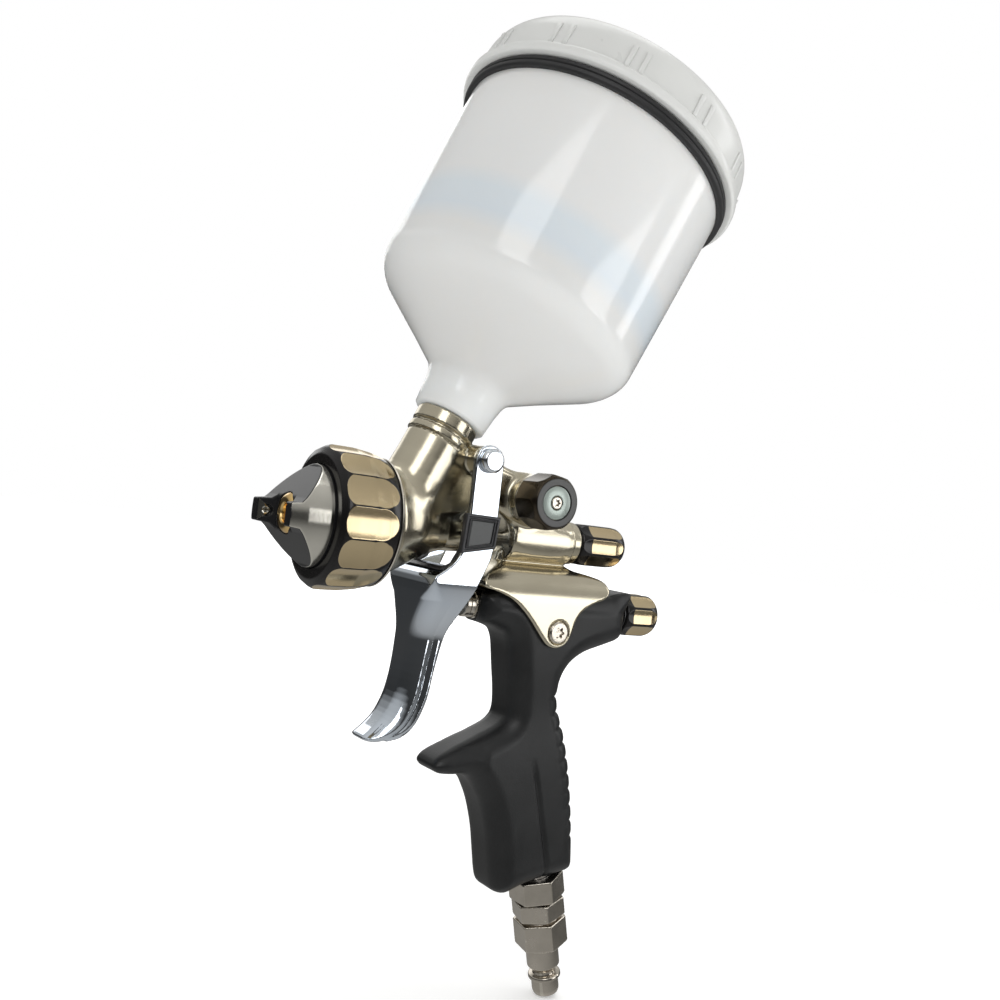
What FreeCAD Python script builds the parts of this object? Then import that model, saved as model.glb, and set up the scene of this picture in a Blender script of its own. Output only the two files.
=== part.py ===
import FreeCAD, Part
import os
import Sketcher

# Gravity-feed spray gun.  The spray axis runs along X, spraying toward -X, and the gun stands
# upright on the tip of its air inlet plug, which is the origin.  Millimetres.

doc = FreeCAD.newDocument("SprayGun")
sizes = doc.addObject("Spreadsheet::Sheet", "Sizes")

drivingSizes = [
    # overall places, measured from the spray axis
    ("sideGap", 0.3), ("runFit", 0.05), ("cupLean", 24.9), ("cupCross", -9.5),
    ("gripLean", 14.5), ("gripCross", 35.7), ("plugTip", 168.0),
    # head
    ("ringFront", -36.1), ("ringRear", -14.9), ("ringRadius", 22.8), ("ringTail", 20.2),
    ("ringLip", 3.1), ("lipRadius", 16.3), ("bossRadius", 17.0), ("fluteRadius", 4.6),
    ("fluteDepth", 1.1), ("hornTip", -50.5), ("hornInner", 8.0), ("hornHalf", 3.6),
    ("capFace", -45.8), ("faceHalf", 5.0), ("capWall", 2.4), ("insertRadius", 6.4),
    ("tipRadius", 2.2), ("tipFront", -43.6), ("nozzleBore", 1.75), ("nozzleHex", 7.8),
    ("nozzleStem", 7.0), ("bossFront", -27.5), ("stemRear", -19.0), ("baffleThick", 2.8),
    # gun body
    ("barrelRear", 19.0), ("barrelEnd", 10.0), ("paintBore", 5.6), ("needleHole", 1.7),
    ("neckRadius", 10.2), ("neckTop", 40.0), ("neckGroove", 34.2), ("neckFlare", 13.0),
    ("bridgeHalf", 8.0), ("housingFront", 34.0), ("housingRear", 60.3), ("housingRadius", 8.6),
    ("springBore", 5.6), ("plateHalf", 13.0), ("plateLow", -36.4), ("plateScrewX", 54.0),
    ("plateScrewZ", -30.7), ("fanX", 38.5), ("fanZ", 13.4), ("fanBoss", 8.6), ("fanFace", 12.0),
    ("fanBore", 4.6),
    # trigger
    ("pivotX", 16.2), ("pivotZ", 24.3), ("pinRadius", 2.5), ("lugRadius", 4.8), ("lugHalf", 12.6),
    ("armInner", 13.4), ("armThick", 2.0), ("armHalf", 5.4), ("bladeHalf", 8.7),
    ("bladeThick", 2.0), ("bladeRear", 17.0), ("bladeTip", -12.6), ("bladeLow", -70.4),
    ("capHeight", 2.8), ("clipProud", 2.2), ("yokeFront", 20.4), ("yokeThick", 2.6),
    # needle train
    ("needleRadius", 1.5), ("dogRadius", 3.4), ("dogLong", 3.0), ("needleRear", 46.0),
    ("needleFlange", 4.6), ("packBore", 5.0), ("packFront", 7.6), ("packLong", 2.6),
    ("collarRadius", 7.4), ("collarLong", 3.6), ("knobRadius", 7.7), ("knobRear", 85.8),
    # air valve
    ("airZ", -24.0), ("valveFront", 25.0), ("valveRear", 86.5), ("valveRadius", 4.9),
    ("valveBore", 3.8), ("rodRadius", 1.6), ("rodFront", 2.6), ("pistonX", 62.0),
    ("seatX", 55.0), ("nutRadius", 4.5), ("nutLong", 4.0), ("airKnobRadius", 8.0),
    ("airKnobFront", 88.6), ("airKnobRear", 105.3),
    # fan knob
    ("fanKnobInner", 12.4), ("fanKnobOuter", 24.0), ("fanKnobRadius", 9.8), ("fanFaceRadius", 8.2),
    ("discRadius", 5.6), ("discThick", 0.9), ("fanScrew", 2.3),
    # cup and lid, along the cup axis from the spray axis
    ("spigotRadius", 8.0), ("spigotLow", 27.0), ("cupWall", 1.7), ("cupFoot", 40.3),
    ("footRadius", 12.6), ("coneLow", 54.5), ("coneLowRadius", 14.5), ("shoulder", 77.0),
    ("shoulderRadius", 46.0), ("rimRadius", 48.6), ("cupRim", 160.0), ("gasketLow", 145.4),
    ("gasketHigh", 149.4), ("gasketRadius", 50.6), ("lidRadius", 53.0), ("lidTop", 169.0),
    ("lidWall", 1.8), ("ventRadius", 5.0),
    # grip and air fittings, along the grip axis
    ("gripHalf", 11.4), ("gripTop", -17.6), ("gripEnd", 121.5), ("coreRadius", 5.4),
    ("coreTop", 36.0), ("airBore", 3.2), ("flangeFront", 123.0), ("flangeRear", 131.2),
    ("lockFront", 131.9), ("lockRear", 138.2), ("hexFront", 139.4), ("hexRear", 149.0),
    ("hexAcross", 16.6), ("flangeAcross", 17.4), ("shankRadius", 5.9), ("shankRear", 157.8),
    ("grooveRadius", 4.1), ("collarRear", 162.1), ("noseRadius", 4.9), ("sealThick", 0.7),
]
for row, (alias, value) in enumerate(drivingSizes, start=1):
    sizes.set(f"A{row}", alias)
    sizes.set(f"B{row}", str(value))
    sizes.setAlias(f"B{row}", alias)
doc.recompute()

ALIASES = sorted((alias for alias, _ in drivingSizes), key=len, reverse=True)


def linked(expression):
    words = []
    word = ""
    for letter in str(expression) + " ":
        if letter.isalnum() or letter == "_":
            word += letter
            continue
        words.append("Sizes." + word if word in ALIASES else word)
        words.append(letter)
        word = ""
    return "".join(words).strip()


def number(expression):
    return float(sizes.evalExpression(linked(expression)))


# Where the spray axis passes over the origin.
datumX = "-(gripCross + plugTip * sin(gripLean * 1deg))"
datumZ = "plugTip * cos(gripLean * 1deg)"

# Each direction is a turn of the local Z axis: its axis, its angle and where it starts.
directions = {
    "spray": (FreeCAD.Vector(0, 1, 0), "90", "0"),
    "cup": (FreeCAD.Vector(0, 1, 0), "cupLean", "cupCross"),
    "grip": (FreeCAD.Vector(0, 1, 0), "180 - gripLean", "gripCross"),
    "side": (FreeCAD.Vector(1, 0, 0), "90", "0"),
    "upright": (FreeCAD.Vector(0, 1, 0), "0", "0"),
}


def seat(shape_object, direction, shift=("0", "0", "0")):
    axis, angle, start = directions[direction]
    places = (f"{datumX} + {start} + {shift[0]}", shift[1], f"{datumZ} + {shift[2]}")
    base = FreeCAD.Vector(*[number(place) for place in places])
    shape_object.Placement = FreeCAD.Placement(base, FreeCAD.Rotation(axis, number(angle)))
    for letter, place in zip("xyz", places):
        shape_object.setExpression(f"Placement.Base.{letter}", linked(place))
    shape_object.setExpression("Placement.Rotation.Angle", linked(f"({angle}) * 1deg"))


def new_body(name):
    body = doc.addObject("PartDesign::Body", name)
    body.Label = name
    return body


def new_sketch(body, role):
    sketch = body.newObject("Sketcher::SketchObject", body.Name + "Outline")
    plane = [feature for feature in body.Origin.OriginFeatures if feature.Role == role][0]
    sketch.AttachmentSupport = (plane, [""])
    sketch.MapMode = "FlatFace"
    return sketch


def closed_outline(sketch, points, first=0):
    places = [(number(across), number(along)) for across, along in points]
    for start, end in zip(places, places[1:] + places[:1]):
        sketch.addGeometry(Part.LineSegment(FreeCAD.Vector(*start, 0), FreeCAD.Vector(*end, 0)))
    for index in range(len(points)):
        following = first + (index + 1) % len(points)
        sketch.addConstraint(Sketcher.Constraint("Coincident", first + index, 2, following, 1))
    for index, (point, place) in enumerate(zip(points, places)):
        for kind, zero_axis, text, value in zip(("DistanceX", "DistanceY"), (-2, -1), point, place):
            if str(text) == "0":
                sketch.addConstraint(Sketcher.Constraint("PointOnObject", first + index, 1, zero_axis))
                continue
            held = sketch.addConstraint(Sketcher.Constraint(kind, -1, 1, first + index, 1, value))
            sketch.setExpression(f"Constraints[{held}]", linked(text))
    return first + len(points)


def turned(name, direction, outline, shift=("0", "0", "0")):
    body = new_body(name)
    sketch = new_sketch(body, "XZ_Plane")
    closed_outline(sketch, outline)
    spin = body.newObject("PartDesign::Revolution", name + "Turn")
    spin.Profile = sketch
    spin.ReferenceAxis = (sketch, ["V_Axis"])
    spin.Angle = 360
    seat(body, direction, shift)
    return body


def tube(name, direction, inner, outer, low, high, shift=("0", "0", "0")):
    outline = [(inner, low), (outer, low), (outer, high), (inner, high)]
    return turned(name, direction, outline, shift)


def profile_plate(name, outline, half, centre="0"):
    body = new_body(name)
    sketch = new_sketch(body, "XZ_Plane")
    closed_outline(sketch, outline)
    pad = body.newObject("PartDesign::Pad", name + "Pad")
    pad.Profile = sketch
    pad.Midplane = True
    pad.setExpression("Length", linked(f"2 * ({half})"))
    seat(body, "upright", ("0", centre, "0"))
    return body


def hex_prism(name, direction, across, low, high):
    body = new_body(name)
    sketch = new_sketch(body, "XY_Plane")
    corner = f"(({across}) / sqrt(3))"
    points = [(f"{corner} * cos({60 * turn} * 1deg)", f"{corner} * sin({60 * turn} * 1deg)")
              for turn in range(6)]
    points[0] = (points[0][0], "0")
    points[3] = (points[3][0], "0")
    closed_outline(sketch, points)
    pad = body.newObject("PartDesign::Pad", name + "Pad")
    pad.Profile = sketch
    pad.setExpression("Length", linked(f"({high}) - ({low})"))
    angle = directions[direction][1]
    along_x = f"({low}) * sin(({angle}) * 1deg)"
    along_z = f"({low}) * cos(({angle}) * 1deg)"
    seat(body, direction, (along_x, "0", along_z))
    return body


def joined(name, pieces):
    fuse = doc.addObject("Part::MultiFuse", name)
    fuse.Label = name
    fuse.Shapes = pieces
    return fuse


def less(name, base, tools):
    cut = doc.addObject("Part::Cut", name)
    cut.Label = name
    cut.Base = base
    cut.Tool = tools[0] if len(tools) == 1 else joined(name + "Tools", tools)
    return cut


def common(name, pieces):
    shared = doc.addObject("Part::MultiCommon", name)
    shared.Label = name
    shared.Shapes = pieces
    return shared


nodes = []

# The head.
ring_blank = turned("ringBlank", "spray", [
    ("lipRadius", "ringFront"), ("ringRadius - 2.2", "ringFront"), ("ringRadius", "ringFront + 2.6"),
    ("ringRadius", "ringRear - 9"), ("ringTail", "ringRear"), ("bossRadius + sideGap", "ringRear"),
    ("bossRadius + sideGap", "ringFront + ringLip"), ("lipRadius", "ringFront + ringLip")])
flute_tools = []
for turn in range(14):
    flute = doc.addObject("Part::Cylinder", f"ringFlute{turn}")
    flute.setExpression("Radius", linked("fluteRadius"))
    flute.setExpression("Height", linked("ringRear - ringFront - 4"))
    reach = "(ringRadius + fluteRadius - fluteDepth)"
    across = f"{reach} * cos({360 / 14 * turn:.6f} * 1deg)"
    above = f"{reach} * sin({360 / 14 * turn:.6f} * 1deg)"
    seat(flute, "spray", ("ringFront + 1", across, above))
    flute_tools.append(flute)
nodes.append(less("air_cap_ring", ring_blank, flute_tools))

cap_outer = turned("capOuter", "spray", [
    ("0", "ringFront + ringLip + 2.5"), ("bossRadius", "ringFront + ringLip + 2.5"),
    ("bossRadius", "ringFront + ringLip + 0.1"), ("lipRadius - 0.1", "ringFront + ringLip + 0.1"),
    ("lipRadius - 0.1", "ringFront - 2.1"), ("lipRadius - 3", "hornTip"), ("0", "hornTip")])
cap_wedge = profile_plate("capWedge", [
    ("ringFront + ringLip + 3", "-bossRadius - 1"), ("ringFront + ringLip + 3", "bossRadius + 1"),
    ("ringFront - 1", "bossRadius + 1"), ("ringFront - 1.6", "lipRadius - 1"),
    ("capFace", "faceHalf"), ("hornTip - 1", "hornHalf"), ("hornTip - 1", "-hornHalf"),
    ("capFace", "-faceHalf"), ("ringFront - 1.6", "1 - lipRadius"),
    ("ringFront - 1", "-bossRadius - 1")], "bossRadius + 1")
horn_slot = doc.addObject("Part::Box", "hornSlot")
horn_slot.setExpression("Length", linked("capFace - hornTip + 1"))
horn_slot.setExpression("Width", linked("2 * hornInner"))
horn_slot.setExpression("Height", linked("2 * bossRadius"))
seat(horn_slot, "upright", ("hornTip - 1", "-hornInner", "-bossRadius"))
cap_hollow = turned("capHollow", "spray", [
    ("0", "ringFront + 6"), ("bossRadius - capWall", "ringFront + 6"),
    ("bossRadius - capWall", "ringFront + 1"), ("insertRadius + 1.5", "capFace + 4"),
    ("insertRadius", "capFace + 3.2"), ("insertRadius", "capFace - 1"), ("0", "capFace - 1")])
nodes.append(less("air_cap", common("capForm", [cap_outer, cap_wedge]), [horn_slot, cap_hollow]))

nodes.append(turned("air_cap_insert", "spray", [
    ("tipRadius + 0.6", "capFace + 3.2"), ("tipRadius + 0.6", "capFace + 1"),
    ("insertRadius * 0.62", "capFace + 0.9"), ("insertRadius - 0.03", "capFace + 1.8"),
    ("insertRadius - 0.03", "capFace + 3.2")]))

nozzle_outer = turned("nozzleOuter", "spray", [
    ("nozzleBore", "tipFront + 1"), ("tipRadius - 1.3", "tipFront"), ("tipRadius", "tipFront"),
    ("tipRadius", "tipFront + 3.2"), ("nozzleHex - 2.5", "ringFront + 0.4"),
    ("nozzleHex", "ringFront + 1"), ("nozzleHex", "bossFront - baffleThick - 0.6"),
    ("nozzleStem + 1.2", "bossFront - baffleThick - 0.6"), ("nozzleStem + 1.2", "bossFront"),
    ("nozzleStem", "bossFront"), ("nozzleStem", "stemRear"), ("paintBore", "stemRear"),
    ("paintBore", "bossFront - 2"), ("nozzleBore", "bossFront - 6")])
nodes.append(nozzle_outer)
nozzle_outer.Label = "fluid_nozzle"

nodes.append(tube("air_distribution_ring", "spray", "nozzleStem + 1.3", "bossRadius - 0.4",
                  "bossFront - baffleThick", "bossFront"))

# The gun body.
barrel = turned("barrel", "spray", [
    ("0", "bossFront"), ("bossRadius", "bossFront"), ("bossRadius", "ringRear + 0.3"),
    ("bossRadius + 0.9", "ringRear + 0.3"), ("bossRadius + 0.7", "ringRear + 3"),
    ("bossRadius - 2", "ringRear + 9"), ("barrelEnd + 2.6", "ringRear + 15"),
    ("barrelEnd + 1", "ringRear + 21"), ("barrelEnd", "barrelRear"), ("0", "barrelRear")])
neck = turned("neckTube", "cup", [
    ("0", "0"), ("neckFlare", "0"), ("neckFlare", "7"), ("neckRadius + 0.8", "14"),
    ("neckRadius", "20"), ("neckRadius", "neckGroove - 3"), ("neckRadius + 0.5", "neckGroove - 2.6"),
    ("neckRadius + 0.5", "neckGroove"), ("neckRadius - 0.4", "neckGroove"),
    ("neckRadius - 0.4", "neckGroove + 1.1"), ("neckRadius + 0.5", "neckGroove + 1.1"),
    ("neckRadius + 0.5", "neckTop"), ("0", "neckTop")])
bridge = profile_plate("bridge", [
    ("-2", "6"), ("2", "26"), ("pivotX - 2", "pivotZ + 3.6"), ("pivotX + 3", "pivotZ + 4"),
    ("fanX - 8", "fanZ + fanBoss + 0.6"), ("fanX + 7", "fanZ + fanBoss"), ("fanX + 9", "6"),
    ("housingRear - 1", "6"), ("housingRear - 1", "-6"), ("housingFront", "-6"),
    ("housingFront", "5"), ("housingFront - 6", "8.4"), ("barrelRear - 4", "8.4")],
    "bridgeHalf")
lug = tube("lug", "side", "0", "lugRadius", "-lugHalf", "lugHalf", ("pivotX", "0", "pivotZ"))
needle_housing = turned("needleHousing", "spray", [
    ("0", "housingFront"), ("housingRadius - 1", "housingFront"),
    ("housingRadius", "housingFront + 1"), ("housingRadius", "housingRear - 1.2"),
    ("housingRadius - 1", "housingRear"), ("0", "housingRear")])
fan_boss = tube("fanBoss", "side", "0", "fanBoss", "-bridgeHalf - 1.5", "fanFace",
                ("fanX", "0", "fanZ"))
plate = profile_plate("plate", [
    ("24", "-12"), ("22.5", "-15"), ("23", "-17.4"), ("34.3", "-20.8"), ("41", "-26"),
    ("47", "-32.6"), ("plateScrewX - 3.6", "plateLow + 1"), ("plateScrewX", "plateLow"),
    ("plateScrewX + 3.6", "plateLow + 1.6"), ("plateScrewX + 6.2", "-29"), ("62.5", "-23.6"),
    ("68", "-20"), ("75", "-17.6"), ("76", "-14"), ("73", "-11.4"), ("housingRear", "-9"),
    ("housingRear", "-3"), ("housingFront", "-3"), ("housingFront - 2", "-9")], "plateHalf")

# The grip's outline, also the shape of the slot it fills between the two cheeks of the plate.
grip_points = [
    ("valveFront", "gripTop"), ("77", "gripTop"), ("valveRear + 1", "airZ + 8.6"),
    ("valveRear + 1", "airZ - 9"), ("78.5", "-36.2"), ("69", "-39.6"), ("64.2", "-43.4"),
    ("62", "-49.5"), ("62.6", "-56"), ("67.5", "-67.4"), ("72.5", "-85.6"), ("76", "-104"),
    ("77.8", "-117.4"), ("gripCross + gripEnd * sin(gripLean * 1deg) + 9", "-115.6"),
    ("gripCross + gripEnd * sin(gripLean * 1deg) - 9", "-120.2"), ("52", "-122.4"),
    ("48.5", "-123.4"), ("43.6", "-121.4"), ("42", "-112.7"), ("39.6", "-102.1"), ("36", "-91.5"),
    ("31.6", "-84.2"), ("26", "-80.4"), ("21.2", "-81.1"), ("16", "-80.6"), ("14.1", "-77.9"),
    ("16.4", "-74.9"), ("24", "-71.3"), ("35.2", "-66.5"), ("41.2", "-63.6"), ("42.8", "-60.6"),
    ("41.5", "-53"), ("39", "-40"), ("37.6", "-33.4"), ("34.6", "-30.8"), ("28.7", "-30.4"),
    ("valveFront", "airZ - 5.6")]
slot_points = [
    ("valveFront - sideGap", "gripTop + sideGap"), ("90", "gripTop + sideGap"), ("90", "-60"),
    ("valveFront - sideGap", "-60")]
slot = profile_plate("gripSlot", slot_points, "gripHalf + 0.15")

neck_bore = tube("neckBore", "cup", "0", "paintBore", "2", "neckTop + 1")
neck_socket = tube("neckSocket", "cup", "0", "spigotRadius + runFit", "spigotLow - sideGap",
                   "neckTop + 1")
nozzle_socket = tube("nozzleSocket", "spray", "0", "nozzleStem + runFit", "bossFront - 1",
                     "stemRear + 0.2")
paint_way = tube("paintWay", "spray", "0", "paintBore", "stemRear", "2")
needle_way = tube("needleWay", "spray", "0", "needleHole", "1", "packFront + 1")
pack_way = tube("packWay", "spray", "0", "packBore", "packFront", "barrelRear + 1")
spring_way = tube("springWay", "spray", "0", "springBore", "housingFront + 4", "housingRear + 1")
rear_needle_way = tube("rearNeedleWay", "spray", "0", "needleHole", "housingFront - 2",
                       "housingFront + 5")
fan_way = tube("fanWay", "side", "0", "fanBore", "-bridgeHalf + 2", "fanFace + 1",
               ("fanX", "0", "fanZ"))
pivot_way = tube("pivotWay", "side", "0", "pinRadius + runFit", "-lugHalf - 1", "lugHalf + 1",
                 ("pivotX", "0", "pivotZ"))
screw_way = tube("screwWay", "side", "0", "2.2", "-plateHalf - 1", "plateHalf + 1",
                 ("plateScrewX", "0", "plateScrewZ"))
head_sinks = [tube(f"headSink{side}", "side", "0", "4.2", low, high,
                   ("plateScrewX", "0", "plateScrewZ"))
              for side, low, high in (("Left", "plateHalf - 0.7", "plateHalf + 1"),
                                      ("Right", "-plateHalf - 1", "0.7 - plateHalf"))]
metal = joined("metal", [barrel, neck, bridge, lug, needle_housing, fan_boss, plate])
nodes.append(less("gun_body", metal, [
    slot, neck_bore, neck_socket, nozzle_socket, paint_way, needle_way, pack_way, spring_way,
    rear_needle_way, fan_way, pivot_way, screw_way] + head_sinks))

# The trigger.
arm_outline = [
    ("pivotX - armHalf", "pivotZ"), ("pivotX - 3.6", "pivotZ + 4"), ("pivotX", "pivotZ + armHalf"),
    ("pivotX + 3.8", "pivotZ + 4"), ("pivotX + armHalf", "pivotZ"), ("yokeFront + 1.6", "6"),
    ("yokeFront + 1.4", "-6"),
    ("bladeRear", "-17"), ("13.9", "-26"), ("5", "-27"), ("3", "-15"), ("9", "-9"),
    ("11", "-4"), ("11.2", "6")]
blade_front = [
    ("0.4", "-14"), ("0", "-30"), ("-0.4", "-46"), ("-1.6", "-55"), ("-4.6", "-62"),
    ("bladeTip", "-68.6")]
blade_rear = [
    ("bladeTip + 4.4", "bladeLow"), ("-1.6", "-69.4"), ("3", "-66"), ("5.8", "-60.8"),
    ("7.8", "-54.8"), ("8.8", "-46"), ("10.8", "-35"), ("13.6", "-26"), ("10.6", "-22"),
    ("10.6", "-13"), ("6", "-12")]
arms = profile_plate("triggerArms", arm_outline, "armInner + armThick")
arm_space = profile_plate("armSpace", [
    ("pivotX - 8", "40"), ("yokeFront + 9", "40"), ("yokeFront + 9", "-30"), ("2", "-30"),
    ("2", "-8")], "armInner")
blade = profile_plate("triggerBlade", blade_front + blade_rear, "bladeHalf")
blade_space = profile_plate("bladeSpace", [
    ("bladeThick + 0.4", "-8"), ("bladeThick + 0.4", "-14"), ("bladeThick", "-30"),
    ("bladeThick - 0.4", "-46"), ("bladeThick - 1.5", "-54"), ("bladeThick - 3.6", "-61"),
    ("-7", "-66.6"), ("3", "-72"), ("24", "-66"), ("24", "-8")], "bladeHalf - bladeThick + 0.4")
shoulders = profile_plate("shoulders", [
    ("3", "-14"), ("6.5", "-14"), ("6.5", "-24"), ("13.6", "-25"), ("12.2", "-30.5"),
    ("3", "-30.5")], "armInner + armThick")
shoulder_space = profile_plate("shoulderSpace", [
    ("24", "-4"), ("24", "-34"), ("bladeThick + 0.4", "-34"), ("bladeThick + 0.4", "-4")],
    "bladeHalf - bladeThick + 0.4")
yoke = profile_plate("yoke", [
    ("yokeFront", "4.4"), ("yokeFront + yokeThick", "4.4"), ("yokeFront + yokeThick", "-5.2"),
    ("yokeFront", "-5.2")], "armInner + 0.4")
yoke_slot = profile_plate("yokeSlot", [
    ("yokeFront - 1", "2.6"), ("yokeFront + yokeThick + 1", "2.6"),
    ("yokeFront + yokeThick + 1", "-7"), ("yokeFront - 1", "-7")], "needleRadius + 0.5")
trigger_pin_way = tube("triggerPinWay", "side", "0", "pinRadius + runFit", "-20", "20",
                       ("pivotX", "0", "pivotZ"))
hollow_arms = less("hollowArms", arms, [arm_space])
hollow_blade = less("hollowBlade", joined("bladeForm", [blade, shoulders]),
                    [blade_space, shoulder_space])
nodes.append(less("trigger", joined("triggerForm", [hollow_arms, hollow_blade, yoke]),
                  [yoke_slot, trigger_pin_way]))

armOuter = "armInner + armThick"
nodes.append(turned("trigger_pivot_pin", "side", [
    ("0", f"-({armOuter}) - 0.1"), ("pinRadius", f"-({armOuter}) - 0.1"), ("pinRadius", armOuter),
    ("lugRadius - 0.7", f"{armOuter} + 0.1"), ("lugRadius - 0.7", f"{armOuter} + capHeight - 0.8"),
    ("lugRadius - 1.5", f"{armOuter} + capHeight"), ("0", f"{armOuter} + capHeight")],
    ("pivotX", "0", "pivotZ")))
nodes.append(tube("trigger_pin_clip", "side", "0", "lugRadius - 0.7",
                  f"-({armOuter}) - capHeight", f"-({armOuter}) - 0.1", ("pivotX", "0", "pivotZ")))

clip_outline = [("8.6", "6.6"), ("21.6", "6.4"), ("20.8", "-4"), ("8", "-6.4")]
clip_block = profile_plate("clipBlock", clip_outline, f"{armOuter} + clipProud")
clip_gap = profile_plate("clipGap", [
    ("0", "12"), ("30", "12"), ("30", "-12"), ("0", "-12")], armOuter)
nodes.append(less("trigger_clips", clip_block, [clip_gap]))

# The needle train.
dogFront = "yokeFront + yokeThick + sideGap"
nodes.append(turned("fluid_needle", "spray", [
    ("0", "tipFront + 0.4"), ("0.5", "tipFront + 0.6"), ("needleRadius", "tipFront + 9"),
    ("needleRadius", dogFront), ("dogRadius", dogFront), ("dogRadius", f"{dogFront} + dogLong"),
    ("needleRadius", f"{dogFront} + dogLong"), ("needleRadius", "needleRear - 2"),
    ("needleFlange", "needleRear - 2"), ("needleFlange", "needleRear"), ("needleRadius", "needleRear"),
    ("needleRadius", "needleRear + 3"), ("0", "needleRear + 3")]))
nodes.append(tube("needle_packing", "spray", "needleHole", "packBore - 0.05", "packFront",
                  "packFront + packLong"))
nodes.append(tube("packing_screw", "spray", "needleHole", "packBore - 0.05",
                  "packFront + packLong", "barrelRear - 0.4"))
nodes.append(tube("needle_spring", "spray", "needleRadius + 1.6", "springBore - 0.8",
                  "needleRear", "housingRear - 4"))
nodes.append(turned("fluid_knob_collar", "spray", [
    ("needleHole + 0.6", "housingRear - 4"), ("springBore - 0.05", "housingRear - 4"),
    ("springBore - 0.05", "housingRear"), ("collarRadius", "housingRear"),
    ("collarRadius", "housingRear + collarLong"), ("needleHole + 0.6", "housingRear + collarLong")]))
knobFront = "housingRear + collarLong + sideGap"
nodes.append(turned("fluid_knob", "spray", [
    ("0", knobFront), ("knobRadius - 1", knobFront), ("knobRadius", f"{knobFront} + 1.4"),
    ("knobRadius", "knobRear - 6"), ("knobRadius - 1", "knobRear - 2.6"),
    ("knobRadius - 3.4", "knobRear"), ("0", "knobRear")]))

# The air valve.
air = ("0", "0", "airZ")
nodes.append(tube("air_valve_body", "spray", "valveBore", "valveRadius", "valveFront", "valveRear",
                  air))
nodes.append(turned("air_packing_nut", "spray", [
    ("rodRadius + runFit", "valveFront - nutLong"), ("nutRadius", "valveFront - nutLong"),
    ("nutRadius", "valveFront"), ("valveBore - 0.05", "valveFront"),
    ("valveBore - 0.05", "valveFront + 4"), ("rodRadius + runFit", "valveFront + 4")], air))
nodes.append(turned("air_piston", "spray", [
    ("0", "rodFront"), ("rodRadius", "rodFront"), ("rodRadius", "seatX + 3"),
    ("valveBore - 0.6", "seatX + 3.3"), ("valveBore - 0.6", "pistonX"), ("0", "pistonX")], air))
nodes.append(tube("air_valve_seat", "spray", "rodRadius + 0.5", "valveBore - 0.05", "seatX",
                  "seatX + 2.6", air))
nodes.append(tube("air_piston_spring", "spray", "valveBore - 1.8", "valveBore - 0.5", "pistonX",
                  "valveRear - 4", air))
nodes.append(turned("micrometer_bush", "spray", [
    ("0", "valveRear - 4"), ("valveBore - 0.05", "valveRear - 4"),
    ("valveBore - 0.05", "valveRear"), ("valveRadius - 0.2", "valveRear"),
    ("valveRadius - 0.2", "valveRear + 1.3"), ("airKnobRadius - 1.4", "valveRear + 1.3"),
    ("airKnobRadius - 1.4", "airKnobFront - sideGap"), ("0", "airKnobFront - sideGap")], air))
nodes.append(turned("air_micrometer_knob", "spray", [
    ("0", "airKnobFront"), ("airKnobRadius - 1", "airKnobFront"),
    ("airKnobRadius", "airKnobFront + 1.2"), ("airKnobRadius", "airKnobRear - 5"),
    ("airKnobRadius - 1", "airKnobRear - 2.4"), ("airKnobRadius - 3.4", "airKnobRear"),
    ("0", "airKnobRear")], air))

# The fan control.
fan = ("fanX", "0", "fanZ")
nodes.append(tube("fan_valve_bush", "side", "2.05", "fanBore - 0.05", "fanFace - 6", "fanFace",
                  fan))
nodes.append(turned("fan_spindle", "side", [
    ("0", "-bridgeHalf + 3"), ("1", "-bridgeHalf + 3"), ("3.4", "-bridgeHalf + 6"),
    ("3.4", "fanFace - 6.3"), ("2", "fanFace - 6.3"), ("2", "fanKnobInner + 5"),
    ("0", "fanKnobInner + 5")], fan))
nodes.append(turned("fan_knob", "side", [
    ("2", "fanKnobInner"), ("fanKnobRadius - 0.8", "fanKnobInner"),
    ("fanKnobRadius", "fanKnobInner + 1"), ("fanKnobRadius", "fanKnobOuter - 3"),
    ("fanFaceRadius", "fanKnobOuter"), ("discRadius", "fanKnobOuter"),
    ("discRadius", "fanKnobOuter - discThick"), ("0", "fanKnobOuter - discThick"),
    ("0", "fanKnobInner + 5"), ("2", "fanKnobInner + 5")], fan))
nodes.append(tube("fan_knob_disc", "side", "fanScrew", "discRadius - 0.05",
                  "fanKnobOuter - discThick", "fanKnobOuter", fan))
nodes.append(tube("fan_knob_screw", "side", "0", "fanScrew - 0.05", "fanKnobOuter - discThick",
                  "fanKnobOuter + 0.1", fan))

# The cup.
nodes.append(turned("paint_cup", "cup", [
    ("spigotRadius - cupWall", "spigotLow"), ("spigotRadius", "spigotLow"),
    ("spigotRadius", "cupFoot"), ("footRadius", "cupFoot"), ("coneLowRadius", "coneLow"),
    ("shoulderRadius", "shoulder"), ("shoulderRadius + 1.8", "shoulder + 4"),
    ("rimRadius", "gasketLow"), ("rimRadius", "gasketHigh + 0.2"), ("rimRadius - 1", "gasketHigh + 1"),
    ("rimRadius - 1", "cupRim"), ("rimRadius - 1 - cupWall", "cupRim"),
    ("shoulderRadius - cupWall + 1.6", "shoulder + 4"), ("shoulderRadius - cupWall", "shoulder + 1"),
    ("coneLowRadius - cupWall", "coneLow + 1"), ("spigotRadius - cupWall", "cupFoot + 3")]))
nodes.append(tube("lid_gasket", "cup", "rimRadius + 0.1", "gasketRadius", "gasketLow",
                  "gasketHigh"))
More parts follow.
